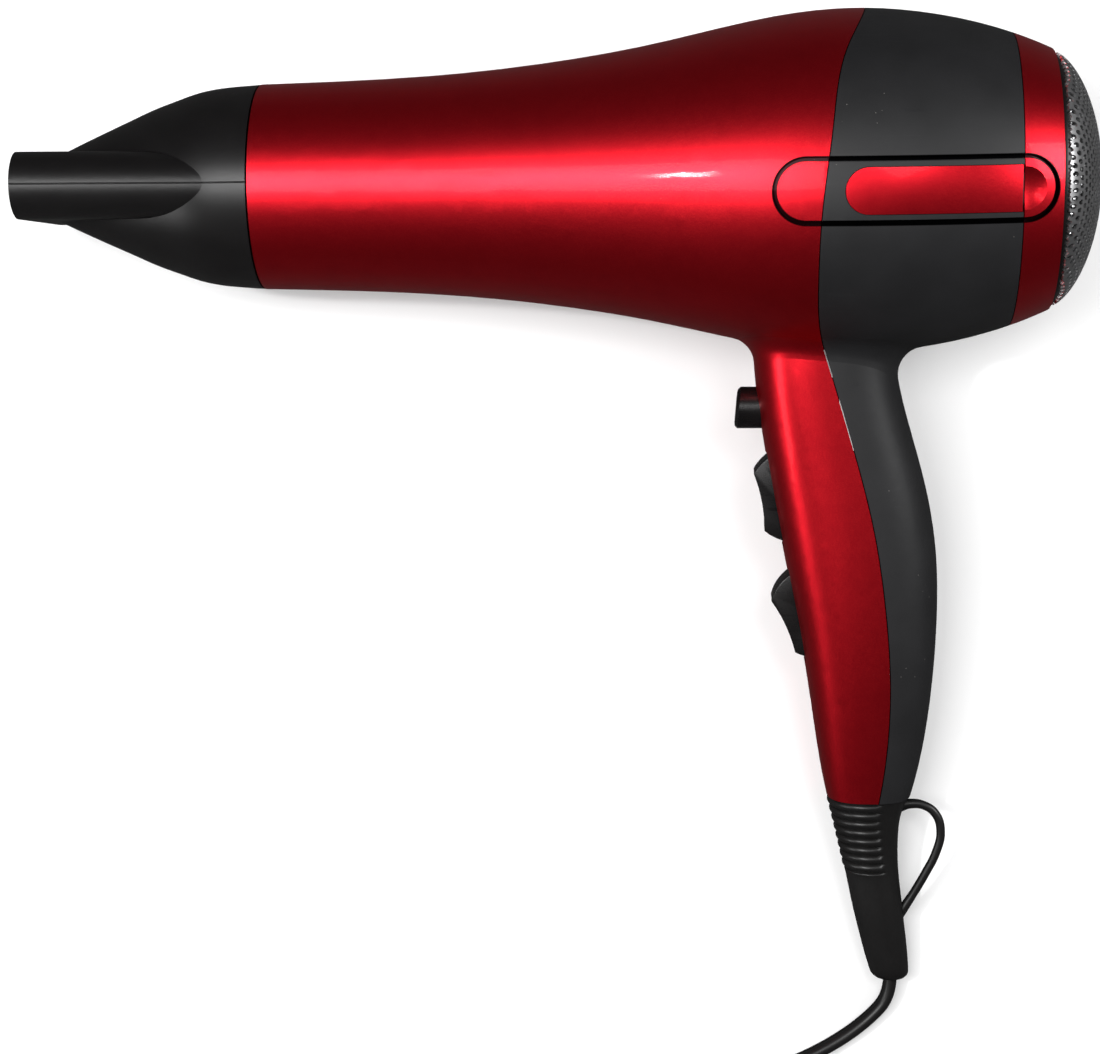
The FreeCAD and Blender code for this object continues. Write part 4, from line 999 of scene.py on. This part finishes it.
def floor_material(colour):
    """A plain pale surface, which glossy pieces see as dark."""
    material = bpy.data.materials.new("Pale Floor")
    material.use_nodes = True
    tree = material.node_tree
    pale = tree.nodes["Principled BSDF"]
    pale.inputs["Base Color"].default_value = (*colour, 1.0)
    pale.inputs["Roughness"].default_value = 0.9
    pale.inputs["Specular IOR Level"].default_value = 0.1
    dark = node(tree, "BsdfDiffuse", (0, -300))
    dark.inputs["Color"].default_value = (0.05, 0.05, 0.05, 1.0)
    path = node(tree, "LightPath", (-400, 300))
    choose = node(tree, "MixShader", (300, 0))
    tree.links.new(path.outputs["Is Glossy Ray"], choose.inputs[0])
    tree.links.new(pale.outputs[0], choose.inputs[1])
    tree.links.new(dark.outputs[0], choose.inputs[2])
    tree.links.new(choose.outputs[0], tree.nodes["Material Output"].inputs["Surface"])
    return material


def build_stage(stage, colours):
    """Floor, surroundings, lights and camera."""
    clear_selection()
    bpy.ops.mesh.primitive_plane_add(size=6.0)
    floor = bpy.context.object
    floor.name = "floor"
    floor.data.materials.append(floor_material(tuple(colours.floor)))
    world = bpy.data.worlds.new("Studio")
    bpy.context.scene.world = world
    world.use_nodes = True
    background = world.node_tree.nodes["Background"]
    background.inputs["Color"].default_value = (1.0, 1.0, 1.0, 1.0)
    path = node(world.node_tree, "LightPath", (-700, 0))
    level = node(world.node_tree, "MapRange", (-400, 0))
    level.inputs["To Min"].default_value = stage.world_strength
    level.inputs["To Max"].default_value = SEEN_IN_GLOSS
    world.node_tree.links.new(path.outputs["Is Glossy Ray"], level.inputs["Value"])
    world.node_tree.links.new(level.outputs[0], background.inputs["Strength"])
    powers = {"key": stage.key_power, "side": stage.side_power}
    for name, place, target, wide, high, kind, share in LIGHTS:
        add_area(name, place, target, wide, high, share * powers[kind])
    camera = bpy.data.cameras.new("Camera")
    camera.sensor_width = 36.0
    camera.lens = stage.lens
    camera.clip_start = 0.01
    thing = bpy.data.objects.new("Camera", camera)
    bpy.context.scene.collection.objects.link(thing)
    thing.location = (*CAMERA_PLACE, stage.camera_height)
    bpy.context.scene.camera = thing
    bpy.context.scene.view_settings.view_transform = "Standard"


# ---------------------------------------------------------------- operators
class HAIRDRYER_OT_stage(bpy.types.Operator):
    """Set up the floor, the soft lights and the camera"""

    bl_idname = "hairdryer.stage"
    bl_label = "Stage"

    def execute(self, context):
        build_stage(context.scene.hairdryer_stage, context.scene.hairdryer_colours)
        return {"FINISHED"}


class HAIRDRYER_OT_finishes(bpy.types.Operator):
    """Make the materials and give them to the frame's own pieces"""

    bl_idname = "hairdryer.finishes"
    bl_label = "Finishes"

    def execute(self, context):
        make_groups()
        make_finishes(context.scene.hairdryer_colours)
        for name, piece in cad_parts.items():
            wear(piece, NODE_FINISH[name])
        return {"FINISHED"}


class HAIRDRYER_OT_cord(bpy.types.Operator):
    """Sweep the flat mains cord along its route and coil"""

    bl_idname = "hairdryer.cord"
    bl_label = "Mains Cord"

    def execute(self, context):
        sizes = context.scene.hairdryer_sizes
        piece, path = build_cord(sizes)
        return {"FINISHED"}


class HAIRDRYER_OT_relief(bpy.types.Operator):
    """Model the ribbed rubber sleeve and its hanging loop"""

    bl_idname = "hairdryer.relief"
    bl_label = "Strain Relief"

    def execute(self, context):
        build_relief(context.scene.hairdryer_sizes)
        build_loop()
        return {"FINISHED"}


class HAIRDRYER_OT_dome(bpy.types.Operator):
    """Press the perforated sheet over the intake and add its rim"""

    bl_idname = "hairdryer.dome"
    bl_label = "Intake Dome"

    def execute(self, context):
        build_dome(context.scene.hairdryer_sizes)
        return {"FINISHED"}


class HAIRDRYER_OT_controls(bpy.types.Operator):
    """Model the cool-shot button and round the rockers' edges"""

    bl_idname = "hairdryer.controls"
    bl_label = "Controls"

    def execute(self, context):
        build_button()
        build_spring()
        build_rockers(context.scene.hairdryer_sizes.edge_round)
        return {"FINISHED"}


OPERATORS = (HAIRDRYER_OT_stage, HAIRDRYER_OT_finishes, HAIRDRYER_OT_cord, HAIRDRYER_OT_relief,
             HAIRDRYER_OT_dome, HAIRDRYER_OT_controls)
SETTINGS = {"hairdryer_colours": HairDryerColours, "hairdryer_sizes": HairDryerSizes,
            "hairdryer_stage": HairDryerStage}


class HAIRDRYER_PT_panel(bpy.types.Panel):
    """The dryer's settings and the steps that build it"""

    bl_idname = "HAIRDRYER_PT_panel"
    bl_label = "Hair Dryer"
    bl_space_type = "VIEW_3D"
    bl_region_type = "UI"
    bl_category = "Hair Dryer"

    def draw(self, context):
        layout = self.layout
        for name in SETTINGS:
            settings = getattr(context.scene, name)
            column = layout.column(align=True)
            for field in settings.__annotations__:
                column.prop(settings, field)
        for operator in OPERATORS:
            layout.operator(operator.bl_idname)


def register():
    for group in SETTINGS.values():
        bpy.utils.register_class(group)
    for operator in OPERATORS:
        bpy.utils.register_class(operator)
    bpy.utils.register_class(HAIRDRYER_PT_panel)
    for name, group in SETTINGS.items():
        setattr(bpy.types.Scene, name, PointerProperty(type=group))


def unregister():
    for name in SETTINGS:
        delattr(bpy.types.Scene, name)
    bpy.utils.unregister_class(HAIRDRYER_PT_panel)
    for operator in reversed(OPERATORS):
        bpy.utils.unregister_class(operator)
    for group in reversed(list(SETTINGS.values())):
        bpy.utils.unregister_class(group)


def main():
    register()
    bpy.ops.hairdryer.stage()
    bpy.ops.hairdryer.finishes()
    bpy.ops.hairdryer.cord()
    bpy.ops.hairdryer.relief()
    bpy.ops.hairdryer.dome()
    bpy.ops.hairdryer.controls()
    clear_selection()


if __name__ == "__main__":
    main()
